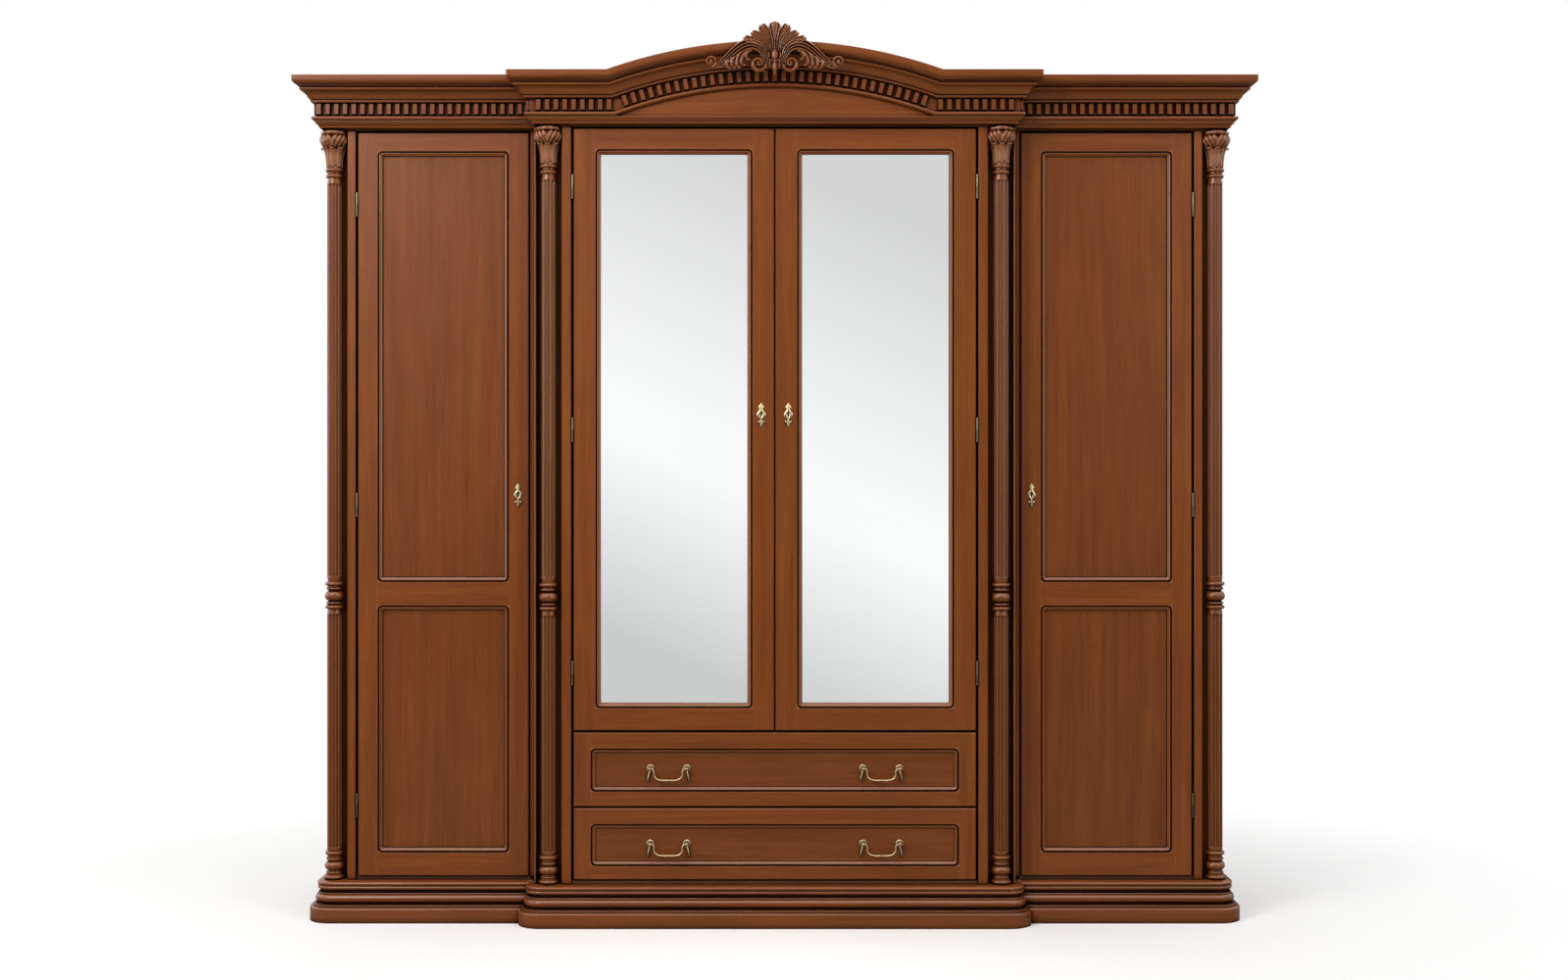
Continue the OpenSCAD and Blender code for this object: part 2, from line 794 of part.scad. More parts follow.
module right_mirror_lock() {
    color(brass) on_mirror_door("right") {
        escutcheon(mirror_lock_x, centre_face, mirror_lock_z);
        lock_case(meeting_gap + 1, meeting_gap + 56, strike_y, mirror_lock_z);
    }
}

module right_mirror_bolt() {
    color(brass) on_mirror_door("right")
        block([meeting_gap + 1, strike_y + 4, mirror_lock_z - 7],
              [meeting_gap + 40, strike_y + 10, mirror_lock_z + 7]);
}

// ---- Drawers ----

module drawer_front(z, panel_z) {
    color(wood) difference() {
        block([-mirror_door_edge, centre_face, z[0]], [mirror_door_edge, centre_face + door_t, z[1]]);
        block([-drawer_panel_x, centre_face - 1, panel_z[0]],
              [drawer_panel_x, centre_face + drawer_recess, panel_z[1]]);
    }
}

module drawer_box(z) {
    front_y = centre_face + door_t;
    rear_y = 300;
    gap = 0.2;
    color(pale_wood) {
        for (side = ["left", "right"]) on_side(side)
            block([drawer_box_x - box_t, front_y, z[0]], [drawer_box_x, rear_y, z[1]]);
        block([box_t + gap - drawer_box_x, rear_y - box_t, z[0] + 14],
              [drawer_box_x - box_t - gap, rear_y, z[1] - 6]);
        block([box_t + gap - drawer_box_x, front_y, z[0] + 4],
              [drawer_box_x - box_t - gap, rear_y, z[0] + 13]);
    }
}

// A handle's two rosettes with their bored posts
module handle_posts(z) {
    color(brass) for (hx = [-handle_x, handle_x]) for (s = [-1, 1])
        translate([hx + s * post_spacing / 2, 0, z]) {
            translate([0, centre_face + drawer_recess, 0]) rotate([90, 0, 0]) cylinder(h = 3, r = 9.5);
            difference() {
                translate([0, centre_face + drawer_recess, 0]) rotate([90, 0, 0])
                    cylinder(h = centre_face + drawer_recess - bail_axis_y + 4.5, r = 4.5);
                translate([-6, bail_axis_y, 0]) rotate([0, 90, 0]) cylinder(h = 12, r = pin_r + 0.35);
            }
        }
}

// A swinging bail, hanging from its two pivots
module bail(hx, z) {
    arm_x = post_spacing / 2 - 8;
    rod_r = 2.3;
    drop = 28;
    bend = 10;
    color(brass) translate([hx, bail_axis_y, z]) {
        for (s = [0, 1]) mirror([s, 0, 0]) {
            translate([arm_x, 0, 0]) rotate([0, 90, 0]) cylinder(h = 12, r = pin_r + 0.3);
            translate([arm_x, 0, bend - drop]) cylinder(h = drop - bend, r = rod_r);
            translate([arm_x, 0, 0]) sphere(rod_r);
            translate([arm_x - bend, 0, bend - drop]) rotate([90, 0, 0]) rotate([0, 0, -90])
                rotate_extrude(angle = 90) translate([bend, 0]) circle(rod_r);
        }
        translate([bend - arm_x, 0, -drop]) rotate([0, 90, 0]) cylinder(h = 2 * (arm_x - bend), r = rod_r);
        translate([0, 0, -drop]) rotate([0, 90, 0]) rotate_extrude()
            polygon([[0, -13], [rod_r, -13], [4.2, -3], [4.2, 3], [rod_r, 13], [0, 13]]);
    }
}

// ---- Assembly ----

wing_base("left");  // left_base
centre_base();
wing_base("right");  // right_base
side_panel("left");  // left_side
partition("left");  // left_partition
partition("right");  // right_partition
side_panel("right");  // right_side
floor_boards();
top_boards();
back_boards();
wing_posts("left");  // left_posts
centre_posts();
wing_posts("right");  // right_posts
wing_cornice("left");  // left_cornice
centre_cornice();
wing_cornice("right");  // right_cornice
dentils();
crest();
column("left", outer_column_x, wing_axis_y);  // left_outer_column
column("left", inner_column_x, centre_axis_y);  // left_inner_column
column("right", inner_column_x, centre_axis_y);  // right_inner_column
column("right", outer_column_x, wing_axis_y);  // right_outer_column
capitals();
shelves();
hanging_rods();
drawer_runners();
drawer_dividers();
hinge_pins();
wing_door_frame("left");  // left_door_frame
wing_door_panels("left");  // left_door_panels
on_wing_door("left") wing_hinge_places() hinge_moving();  // left_door_hinges
wing_door_lock("left");  // left_door_lock
wing_door_bolt("left");  // left_door_bolt
wing_door_frame("right");  // right_door_frame
wing_door_panels("right");  // right_door_panels
on_wing_door("right") wing_hinge_places() hinge_moving();  // right_door_hinges
wing_door_lock("right");  // right_door_lock
wing_door_bolt("right");  // right_door_bolt
mirror_frame("left");  // left_mirror_frame
mirror_glass("left");  // left_mirror_glass
mirror_back("left");  // left_mirror_back
on_mirror_door("left") mirror_hinge_places() hinge_moving();  // left_mirror_hinges
left_mirror_lock();
left_mirror_bolt();
mirror_frame("right");  // right_mirror_frame
mirror_glass("right");  // right_mirror_glass
mirror_back("right");  // right_mirror_back
on_mirror_door("right") mirror_hinge_places() hinge_moving();  // right_mirror_hinges
right_mirror_lock();
right_mirror_bolt();
drawer_front(upper_drawer_z, upper_panel_z);  // upper_drawer_front
drawer_box(upper_box_z);  // upper_drawer_box
handle_posts(upper_handle_z);  // upper_handle_posts
bail(-handle_x, upper_handle_z);  // upper_left_bail
bail(handle_x, upper_handle_z);  // upper_right_bail
drawer_front(lower_drawer_z, lower_panel_z);  // lower_drawer_front
drawer_box(lower_box_z);  // lower_drawer_box
handle_posts(lower_handle_z);  // lower_handle_posts
bail(-handle_x, lower_handle_z);  // lower_left_bail
bail(handle_x, lower_handle_z);  // lower_right_bail
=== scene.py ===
"""Breakfront armoire: the visual model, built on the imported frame."""
import math
import random

import bmesh
import bpy
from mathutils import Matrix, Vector


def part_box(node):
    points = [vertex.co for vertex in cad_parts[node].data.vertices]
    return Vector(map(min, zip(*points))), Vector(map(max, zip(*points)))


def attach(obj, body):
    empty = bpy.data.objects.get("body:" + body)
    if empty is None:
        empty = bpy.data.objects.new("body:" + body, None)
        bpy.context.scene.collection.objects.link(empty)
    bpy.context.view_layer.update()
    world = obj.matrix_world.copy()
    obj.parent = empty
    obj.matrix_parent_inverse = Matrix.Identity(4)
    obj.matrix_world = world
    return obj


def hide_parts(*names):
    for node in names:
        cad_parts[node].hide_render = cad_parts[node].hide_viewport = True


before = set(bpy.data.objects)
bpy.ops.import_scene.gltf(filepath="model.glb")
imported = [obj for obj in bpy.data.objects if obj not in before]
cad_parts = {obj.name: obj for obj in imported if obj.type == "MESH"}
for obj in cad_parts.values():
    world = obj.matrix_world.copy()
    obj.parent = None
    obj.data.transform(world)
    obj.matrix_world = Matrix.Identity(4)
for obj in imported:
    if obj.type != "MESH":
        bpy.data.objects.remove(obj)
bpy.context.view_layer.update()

bl_info = {
    "name": "Breakfront Armoire",
    "version": (1, 0, 0),
    "blender": (4, 5, 0),
    "location": "View3D > Sidebar > Armoire",
    "description": "Makes the joinery, mouldings, carving and fittings of a four-door armoire",
    "category": "Object",
}

# ---- Lines of the frame, in metres ----


def lowest(node):
    """A frame node's corner with the least x, y and z."""
    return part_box(node)[0]


def highest(node):
    """A frame node's corner with the greatest x, y and z."""
    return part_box(node)[1]


CENTRE_FACE = lowest("left_mirror_frame").y
WING_FACE = lowest("left_door_frame").y
FACE_REACH = 0.0165
CENTRE_AXIS = lowest("centre_posts").y + FACE_REACH
WING_AXIS = lowest("left_posts").y + FACE_REACH
BACK = highest("back_boards").y
INNER_COLUMN = 0.567
OUTER_COLUMN = 1.1175
CENTRE_BASE_X = INNER_COLUMN + 0.015
CENTRE_CORNICE_X = INNER_COLUMN + 0.007
SIDE_X = highest("right_side").x
PARTITION_X = highest("right_partition").x
BASE_TOP = lowest("centre_posts").z
SOFFIT = highest("centre_posts").z
SLAB_TOP = highest("left_cornice").z
ARCH_SPAN = 0.415
ARCH_RISE = highest("centre_cornice").z - SLAB_TOP
ARCH_RADIUS = (ARCH_SPAN**2 + ARCH_RISE**2) / (2 * ARCH_RISE)
ARCH_CENTRE = SLAB_TOP + ARCH_RISE - ARCH_RADIUS
BAND_REACH = 0.036
DENTIL_Z = 2.032
CORNICE_SEAM = 2.017
MID_RAIL = (0.7945, 0.854)
SHELL_Z = SLAB_TOP + ARCH_RISE - 0.021
CREST_BACK = highest("crest").y - 0.014
WING_LOCK_Z = 1.074
MIRROR_LOCK_Z = 1.275
HANDLE_X = 0.266
POST_SPACING = 0.0915
BAIL_AXIS = CENTRE_FACE - 0.010
HANDLES = (("upper", 0.391, 160), ("lower", 0.203, 141))
SIDES = (("left", -1), ("right", 1))


# ---- Settings ----


class WoodSettings(bpy.types.PropertyGroup):
    """Colours of the stained wood"""

    light: bpy.props.FloatVectorProperty(
        name="Light grain", description="Colour between the grain lines", subtype="COLOR",
        default=(0.262, 0.073, 0.0115), min=0.0, max=1.0)
    dark: bpy.props.FloatVectorProperty(
        name="Dark grain", description="Colour of the grain lines", subtype="COLOR",
        default=(0.128, 0.029, 0.0034), min=0.0, max=1.0)
    # Glazing colour, also used as painted shade in grooves, recesses and gaps between parts
    glaze_and_shade: bpy.props.FloatVectorProperty(
        name="Glaze", description="Colour left in the grooves", subtype="COLOR",
        default=(0.007, 0.0022, 0.0008), min=0.0, max=1.0)
    # Colour of rubbed edges, also a painted highlight along convex edges
    wear_and_highlight: bpy.props.FloatVectorProperty(
        name="Worn edge", description="Colour of the rubbed edges", subtype="COLOR",
        default=(0.44, 0.185, 0.085), min=0.0, max=1.0)


class MetalSettings(bpy.types.PropertyGroup):
    """Colours of the brass fittings"""

    bright: bpy.props.FloatVectorProperty(
        name="Rubbed brass", description="Colour of the high spots", subtype="COLOR",
        default=(0.33, 0.235, 0.125), min=0.0, max=1.0)
    tarnish: bpy.props.FloatVectorProperty(
        name="Tarnish", description="Colour in the hollows", subtype="COLOR",
        default=(0.028, 0.019, 0.010), min=0.0, max=1.0)


class ShapeSettings(bpy.types.PropertyGroup):
    """Sizes of the mouldings, flutes and dentils"""

    flutes: bpy.props.IntProperty(
        name="Flutes", description="Flutes round each column", default=12, min=8, max=20)
    flute_depth: bpy.props.FloatProperty(
        name="Flute depth", description="Depth of a flute", default=0.0036, min=0.0005, max=0.005,
        unit="LENGTH")
    dentil_pitch: bpy.props.FloatProperty(
        name="Dentil pitch", description="Distance between dentils", default=0.022, min=0.015,
        max=0.04, unit="LENGTH")
    corner_radius: bpy.props.FloatProperty(
        name="Panel corner", description="Radius at the outside of the panel mouldings",
        default=0.010, min=0.002, max=0.014, unit="LENGTH")
    edge: bpy.props.FloatProperty(
        name="Edge", description="Width of the softened edges of boards", default=0.0022,
        min=0.0003, max=0.004, unit="LENGTH")


# ---- Outlines, as (reach, height) ----


def arc(cx, cz, r, start, end, steps=6):
    """Points of an arc, its ends in degrees."""
    angles = [math.radians(start + (end - start) * i / steps) for i in range(steps + 1)]
    return [(cx + r * math.cos(a), cz + r * math.sin(a)) for a in angles]


def bead(reach, z, r, steps=8):
    """A half-round that stands out to the given reach."""
    return arc(reach - r, z, r, -90, 90, steps)


def millimetres(points):
    """Pairs given in millimetres, turned to metres."""
    return [(a / 1000, b / 1000) for a, b in points]


def softened(points, r=0.0006):
    """The outline with its sharp corners cut across."""
    out = []
    n = len(points)
    for i, point in enumerate(points):
        here = Vector(point)
        before = Vector(points[i - 1]) - here
        after = Vector(points[(i + 1) % n]) - here
        if min(before.length, after.length) < 1e-7:
            continue
        turn = math.pi - before.angle(after)
        cut = min(r, before.length * 0.3, after.length * 0.3)
        if turn < 0.55 or cut < 1e-4:
            out.append(tuple(here))
        else:
            out.append(tuple(here + before.normalized() * cut))
            out.append(tuple(here + after.normalized() * cut))
    return out


def base_outline():
    """Section of the base: (reach from the axis, height)."""
    points = [(-20, 0), (61, 0)] + arc(57, 33, 4, 0, 90, 4)
    points += [(52, 37), (52, 43), (40, 43), (40, 46)] + bead(47, 57.5, 11, 12)
    points += [(40, 69), (40, 71.5), (30, 71.5), (30, 79)] + bead(42, 84.5, 5) + bead(42, 94.5, 5)
    return softened(millimetres(points + [(34, 99.5), (30, 101), (-20, 101)]))


def cornice_foot(back=-20):
    """Section of the cornice under its seam."""
    points = [(back, 1996), (16.5, 1996), (16.5, 2000), (31.7, 2000), (31.7, 2006)]
    points += arc(31.7, 2014.5, 8.5, -90, 0, 6) + [(43, 2014.5), (43, 2017), (back, 2017)]
    return softened(millimetres(points))


def cornice_head():
    """Section of the cornice over its seam."""
    points = [(-20, 2017), (42, 2017)] + bead(48.5, 2023, 4.5) + [(36, 2028), (36, 2061)]
    points += bead(50, 2065, 3.5) + [(52, 2069), (55.5, 2070)] + arc(75, 2070, 19.5, 180, 100, 8)
    points += [(72.4, 2090.7), (72.4, 2095), (68, 2095), (68, 2098), (73, 2098), (73, 2101)]
    points += [(79.2, 2101), (79.2, 2103)] + arc(79.2, 2111.8, 8.8, -90, 0, 6)
    return softened(millimetres(points + [(88, 2124), (-20, 2124)]))


def column_outline():
    """Half section of a column: (radius, height)."""
    points = [(24, 101)] + bead(26, 106.5, 5.3) + [(20, 112.5), (20, 115.5)] + bead(21, 118.5, 3)
    points += [(18, 122)] + arc(13, 135.3, 11.5, -72, 72, 12) + [(18, 149)] + bead(21, 152.5, 3)
    points += [(18, 156), (18, 162)] + bead(23.5, 167.5, 5) + [(17.5, 173)]
    points += shaft_rows(177, 776) + [(17.5, 781), (17.5, 785.5)] + bead(24, 790.5, 4.5)
    points += [(17.5, 796)] + bead(21, 800.8, 3) + arc(11.5, 818.5, 13, -75, 75, 12)
    points += bead(21, 837.5, 3) + [(17.5, 843)] + bead(24, 849.5, 4.5) + [(17.5, 855), (17.5, 858)]
    points += shaft_rows(864, 1866) + [(17, 1872)] + bead(22, 1882, 5) + [(18, 1888)]
    return millimetres(points + bead(23, 1897, 5) + [(18, 1902.5)])


def shaft_rows(low, high):
    """Close rows near the rounded ends of the flutes."""
    steps = [0, 3, 3.5, 4.2, 5.2, 6.4, 8, 10]
    heights = [low + s for s in steps] + [low + (high - low) * i / 6 for i in range(1, 6)]
    heights += [high - s for s in reversed(steps)]
    return [(18.5, h) for h in heights]


PANEL_MOULDING = millimetres(
    [(0, 0.8), (0.4, 6.0), (3.0, 6.2), (3.6, 1.6), (4.6, 0.4), (5.8, 0.2), (7.0, 0.8), (7.8, 1.8), (9, 3.2),
     (10.6, 3.9), (11.6, 4.3), (12.0, 8.8), (14.6, 9.0)])
MIRROR_MOULDING = millimetres(
    [(0, 0.8), (0.4, 5.6), (2.6, 5.8), (3.2, 1.6), (4.2, 0.4), (5.4, 0.3), (6.6, 1.0), (7.4, 2.2),
     (8.8, 3.8), (10.4, 4.8), (11.6, 5.2), (12.2, 6.4), (13, 8.8)])


# ---- Shapes ----


class Shape:
    """Closed solids gathered for one piece, with the grain running along U."""

    def __init__(self, seed):
        self.points, self.faces, self.grain, self.finishes = [], [], [], []
        self.finish = 0
        self.chance = random.Random(seed)

    def face(self, ids, grain):
        self.faces.append(ids)
        self.grain.append(grain)
        self.finishes.append(self.finish)

    def grid(self, rows, us, vs, loop=True, ring=False, capped=True):
        """Faces between rows of points. Loop closes each row, ring joins the last to the first."""
        du, dv = self.chance.uniform(0, 9), self.chance.uniform(0, 9)
        base, n, m = len(self.points), len(rows[0]), len(rows)
        self.points += [tuple(p) for row in rows for p in row]
        for i in range(m if ring else m - 1):
            for j in range(n if loop else n - 1):
                cells = ((i, j), (i + 1, j), (i + 1, j + 1), (i, j + 1))
                self.face([base + (a % m) * n + b % n for a, b in cells],
                          [(us[a] + du, vs[b] + dv) for a, b in cells])
        if capped and loop and not ring:
            for i in (0, m - 1):
                self.face([base + i * n + j for j in range(n)],
                          [(vs[j] + du, us[i] + dv) for j in range(n)])

    def sweep(self, outline, stations, ring=False):
        """A closed outline carried through stations, each (place function, distance)."""
        rows = [[place(r, h) for r, h in outline] for place, _ in stations]
        us = [d for _, d in stations]
        if ring:
            us.append(us[-1] + (Vector(rows[0][0]) - Vector(rows[-1][0])).length)
        self.grid(rows, us, lengths(outline + outline[:1]), ring=ring)

    def board(self, low, high, grain=2, soft=None, edges=None):
        """A board with softened edges. Edges gives the softness of its six faces, x-, x+ and so on."""
        if soft is None:
            soft = bpy.context.scene.armoire_shape.edge
        edges = edges or (soft,) * 6
        ends = (low, high)
        du, dv = self.chance.uniform(0, 9), self.chance.uniform(0, 9)
        base = len(self.points)
        index = {}
        limit = min(high[i] - low[i] for i in range(3)) * 0.4
        for corner in range(8):
            side = [(corner >> k) & 1 for k in range(3)]
            size = [edges[2 * k + side[k]] for k in range(3)]
            for own in range(3):
                point = []
                for k in range(3):
                    shift = 0 if k == own else min(size[own], size[k], limit)
                    point.append(ends[side[k]][k] + (shift if side[k] == 0 else -shift))
                index[corner, own] = len(self.points) - base
                self.points.append(tuple(point))

        def add(keys):
            ids = [base + index[key] for key in keys]
            spots = [self.points[i] for i in ids]
            own = keys[0][1]
            across = next(k for k in (2, 1, 0) if k not in (own, grain))
            along = grain if own != grain else next(k for k in (0, 1, 2) if k not in (own, across))
            self.face(ids, [(p[along] + du, p[across] + p[own] + dv) for p in spots])

        for own in range(3):
            a, b = [k for k in range(3) if k != own]
            for s in (0, 1):
                ring = [(s << own) | (i << a) | (j << b) for i, j in ((0, 0), (1, 0), (1, 1), (0, 1))]
                add([(c, own) for c in ring])
            for i in (0, 1):
                for j in (0, 1):
                    c0 = (i << a) | (j << b)
                    c1 = c0 | (1 << own)
                    add([(c0, a), (c1, a), (c1, b), (c0, b)])
        for corner in range(8):
            add([(corner, 0), (corner, 1), (corner, 2)])

    def lathe(self, outline, centre, steps=32, axis=2):
        """Turned about an upright axis, or about Y where axis is 1; outline is (radius, along)."""
        rows = []
        for r, h in outline:
            row = []
            for i in range(steps):
                a = 2 * math.pi * i / steps
                c, s = r * math.cos(a), r * math.sin(a)
                row.append((centre[0] + c, centre[1] + s, centre[2] + h) if axis == 2
                           else (centre[0] + c, centre[1] - h, centre[2] + s))
            rows.append(row)
        widest = max(r for r, _ in outline)
        around = [2 * math.pi * widest * i / steps for i in range(steps + 1)]
        self.grid(rows, lengths(outline), around)

    def tube(self, path, radii, steps=10):
        """A round bar along a path."""
        path = [Vector(p) for p in path]
        rows = []
        for i, p in enumerate(path):
            along = (path[min(i + 1, len(path) - 1)] - path[max(i - 1, 0)]).normalized()
            side = along.cross(Vector((0, 1, 0.02))).normalized()
            up = side.cross(along)
            rows.append([p + (side * math.cos(a) + up * math.sin(a)) * radii[i]
                         for a in (2 * math.pi * k / steps for k in range(steps))])
        self.grid(rows, lengths(path), [0.01 * k for k in range(steps + 1)])

    def petal(self, spine, outs, widths, thick, section=((-1, 0), (-0.75, 0.55), (-0.3, 0.95), (0, 1),
                                                          (0.3, 0.95), (0.75, 0.55), (1, 0), (0, -0.3))):
        """A carved leaf or reed along a spine that bulges towards outs."""
        spine = [Vector(p) for p in spine]
        rows = []
        for i, p in enumerate(spine):
            along = (spine[min(i + 1, len(spine) - 1)] - spine[max(i - 1, 0)]).normalized()
            out = Vector(outs[i] if isinstance(outs, list) else outs)
            side = along.cross(out).normalized()
            lift = thick[i] if isinstance(thick, list) else thick
            rows.append([p + side * (a * widths[i]) + out * (b * lift) for a, b in section])
        across = [0.004 * k for k in range(len(section) + 1)]
        self.grid(rows, lengths(spine), across)


def lengths(points):
    """Distance along the points, from the first to each."""
    out = [0.0]
    for a, b in zip(points, points[1:]):
        out.append(out[-1] + (Vector(b) - Vector(a)).length)
    return out


def smooth_path(points, per=6):
    """Points of a smooth curve through the given ones."""
    points = [Vector(p) for p in points]
    padded = [points[0] * 2 - points[1]] + points + [points[-1] * 2 - points[-2]]
    out = []
    for i in range(1, len(padded) - 2):
        p0, p1, p2, p3 = padded[i - 1:i + 3]
        for k in range(per):
            t = k / per
            out.append(0.5 * (2 * p1 + (p2 - p0) * t + (2 * p0 - 5 * p1 + 4 * p2 - p3) * t * t
                              + (3 * p1 - p0 - 3 * p2 + p3) * t**3))
    return out + [points[-1]]


def tapered(count, width, start=0.5, end=0.15, peak=0.6):
    """Half widths that swell from start to a peak and run out to the end."""
    out = []
    for i in range(count):
        t = i / (count - 1)
        if t < peak:
            f = start + (1 - start) * math.sin(math.pi / 2 * t / peak)
        else:
            f = end + (1 - end) * math.cos(math.pi / 2 * (t - peak) / (1 - peak))
        out.append(width * f)
    return out


def finished(shape, name, body, materials, replaced=()):
    """Makes the piece's object: doubles merged, normals outward, edges sharp past an angle."""
    mesh = bpy.data.meshes.new(name)
    mesh.from_pydata(shape.points, [], shape.faces)
    layer = mesh.uv_layers.new(name="Grain")
    layer.data.foreach_set("uv", [v for face in shape.grain for uv in face for v in uv])
    mesh.polygons.foreach_set("material_index", shape.finishes)
    work = bmesh.new()
    work.from_mesh(mesh)
    bmesh.ops.remove_doubles(work, verts=work.verts, dist=2e-6)
    bmesh.ops.dissolve_degenerate(work, edges=work.edges, dist=1e-6)
    bmesh.ops.recalc_face_normals(work, faces=work.faces)
    work.to_mesh(mesh)
    work.free()
    mesh.shade_smooth()
    mesh.set_sharp_from_angle(angle=math.radians(34))
    for material in materials:
        mesh.materials.append(material)
    piece = bpy.data.objects.new(name, mesh)
    bpy.context.scene.collection.objects.link(piece)
    return given(piece, body, replaced)


def given(piece, body, replaced=()):
    """Puts a piece on its body, in place of the nodes it replaces."""
    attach(piece, body)
    if replaced:
        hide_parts(*replaced)
    return piece


# ---- Materials ----


class Nodes:
    """Short calls for building a node tree."""

    def __init__(self, tree):
        self.tree = tree

    def add(self, kind, inputs=None, **settings):
        node = self.tree.nodes.new(kind)
        for key, value in settings.items():
            setattr(node, key, value)
        for key, value in (inputs or {}).items():
            self.put(node.inputs[key], value)
        return node

    def put(self, socket, value):
        if isinstance(value, bpy.types.NodeSocket):
            self.tree.links.new(value, socket)
        else:
            socket.default_value = value

    def math(self, operation, a, b=0.0, c=0.0, clamp=False, kind="ShaderNodeMath"):
        node = self.add(kind, {0: a, 1: b, 2: c}, operation=operation)
        node.use_clamp = clamp
        return node.outputs[0]

    def noise(self, vector, scale, detail=3.0, roughness=0.55, distortion=0.0):
        return self.add("ShaderNodeTexNoise", {
            "Vector": vector, "Scale": scale, "Detail": detail, "Roughness": roughness,
            "Distortion": distortion}).outputs["Fac"]

    def stretched(self, vector, scale):
        return self.add("ShaderNodeVectorMath", {0: vector, 1: scale}, operation="MULTIPLY").outputs[0]

    def between(self, value, low, high, to_low=0.0, to_high=1.0):
        return self.add("ShaderNodeMapRange", {
            "Value": value, "From Min": low, "From Max": high, "To Min": to_low,
            "To Max": to_high}).outputs[0]

    def mix(self, factor, a, b, blend="MIX"):
        node = self.add("ShaderNodeMix", data_type="RGBA", blend_type=blend)
        self.put(node.inputs[0], factor)
        self.put(node.inputs[6], a)
        self.put(node.inputs[7], b)
        return node.outputs[2]


def group(name, outputs, inputs=()):
    """A node group with vector inputs."""
    tree = bpy.data.node_groups.new(name, "ShaderNodeTree")
    for label in inputs:
        tree.interface.new_socket(label, in_out="INPUT", socket_type="NodeSocketVector")
    for label in outputs:
        tree.interface.new_socket(label, in_out="OUTPUT", socket_type="NodeSocketFloat")
    return tree, Nodes(tree)


def figure_group():
    """Wood figure from a vector whose first number runs along the grain, in metres."""
    tree, nodes = group("Wood figure", ("Figure", "Pores", "Mottle"), ("Grain",))
    grain = nodes.add("NodeGroupInput").outputs["Grain"]
    waver = nodes.noise(nodes.stretched(grain, (1.1, 6.0, 1.0)), 1.0, 2.0)
    shift = nodes.add("ShaderNodeCombineXYZ", {"Y": nodes.math("MULTIPLY", waver, 0.035)}).outputs[0]
    bent = nodes.add("ShaderNodeVectorMath", {0: grain, 1: shift}, operation="ADD").outputs[0]
    bands = nodes.noise(nodes.stretched(bent, (1.6, 42.0, 1.0)), 1.0, 4.0, 0.6)
    streaks = nodes.noise(nodes.stretched(bent, (9.0, 330.0, 1.0)), 1.0, 3.0, 0.6)
    pores = nodes.noise(nodes.stretched(bent, (45.0, 900.0, 1.0)), 1.0, 2.0)
    cloud = nodes.noise(nodes.stretched(grain, (3.5, 9.0, 1.0)), 1.0, 3.0)
    figure = nodes.math("ADD", nodes.math("MULTIPLY", nodes.between(bands, 0.3, 0.7), 0.6),
                        nodes.math("MULTIPLY", nodes.between(streaks, 0.3, 0.7), 0.4))
    nodes.add("NodeGroupOutput", {
        "Figure": figure, "Pores": nodes.between(pores, 0.6, 0.72),
        "Mottle": nodes.between(cloud, 0.32, 0.7)})
    return tree


def finish_group():
    """How deep in a groove, and how near an outer edge, a point lies."""
    tree, nodes = group("Grooves and edges", ("Groove", "Seam", "Edge"))
    # Wide and tight see every object, so they also find the recesses and gaps between parts where shade
    # falls; the wood paints glazing and painted shade from them
    wide = nodes.add("ShaderNodeAmbientOcclusion", {"Distance": 0.022}, samples=8).outputs["AO"]
    tight = nodes.add("ShaderNodeAmbientOcclusion", {"Distance": 0.009}, samples=8).outputs["AO"]
    # Inside finds convex edges, where the wood paints wear and a painted highlight
    inside = nodes.add("ShaderNodeAmbientOcclusion", {"Distance": 0.0042}, samples=8, inside=True,
                       only_local=True).outputs["AO"]
    nodes.add("NodeGroupOutput", {
        "Groove": nodes.between(wide, 0.90, 0.38), "Seam": nodes.between(tight, 0.86, 0.50),
        "Edge": nodes.between(inside, 0.72, 0.32)})
    return tree


def new_material(name):
    """A material with its node builder and its shader."""
    material = bpy.data.materials.new(name)
    material.use_nodes = True
    nodes = Nodes(material.node_tree)
    return material, nodes, material.node_tree.nodes["Principled BSDF"]


def grouped(nodes, tree, inputs):
    node = nodes.tree.nodes.new("ShaderNodeGroup")
    node.node_tree = tree
    for key, value in (inputs or {}).items():
        nodes.put(node.inputs[key], value)
    return node.outputs


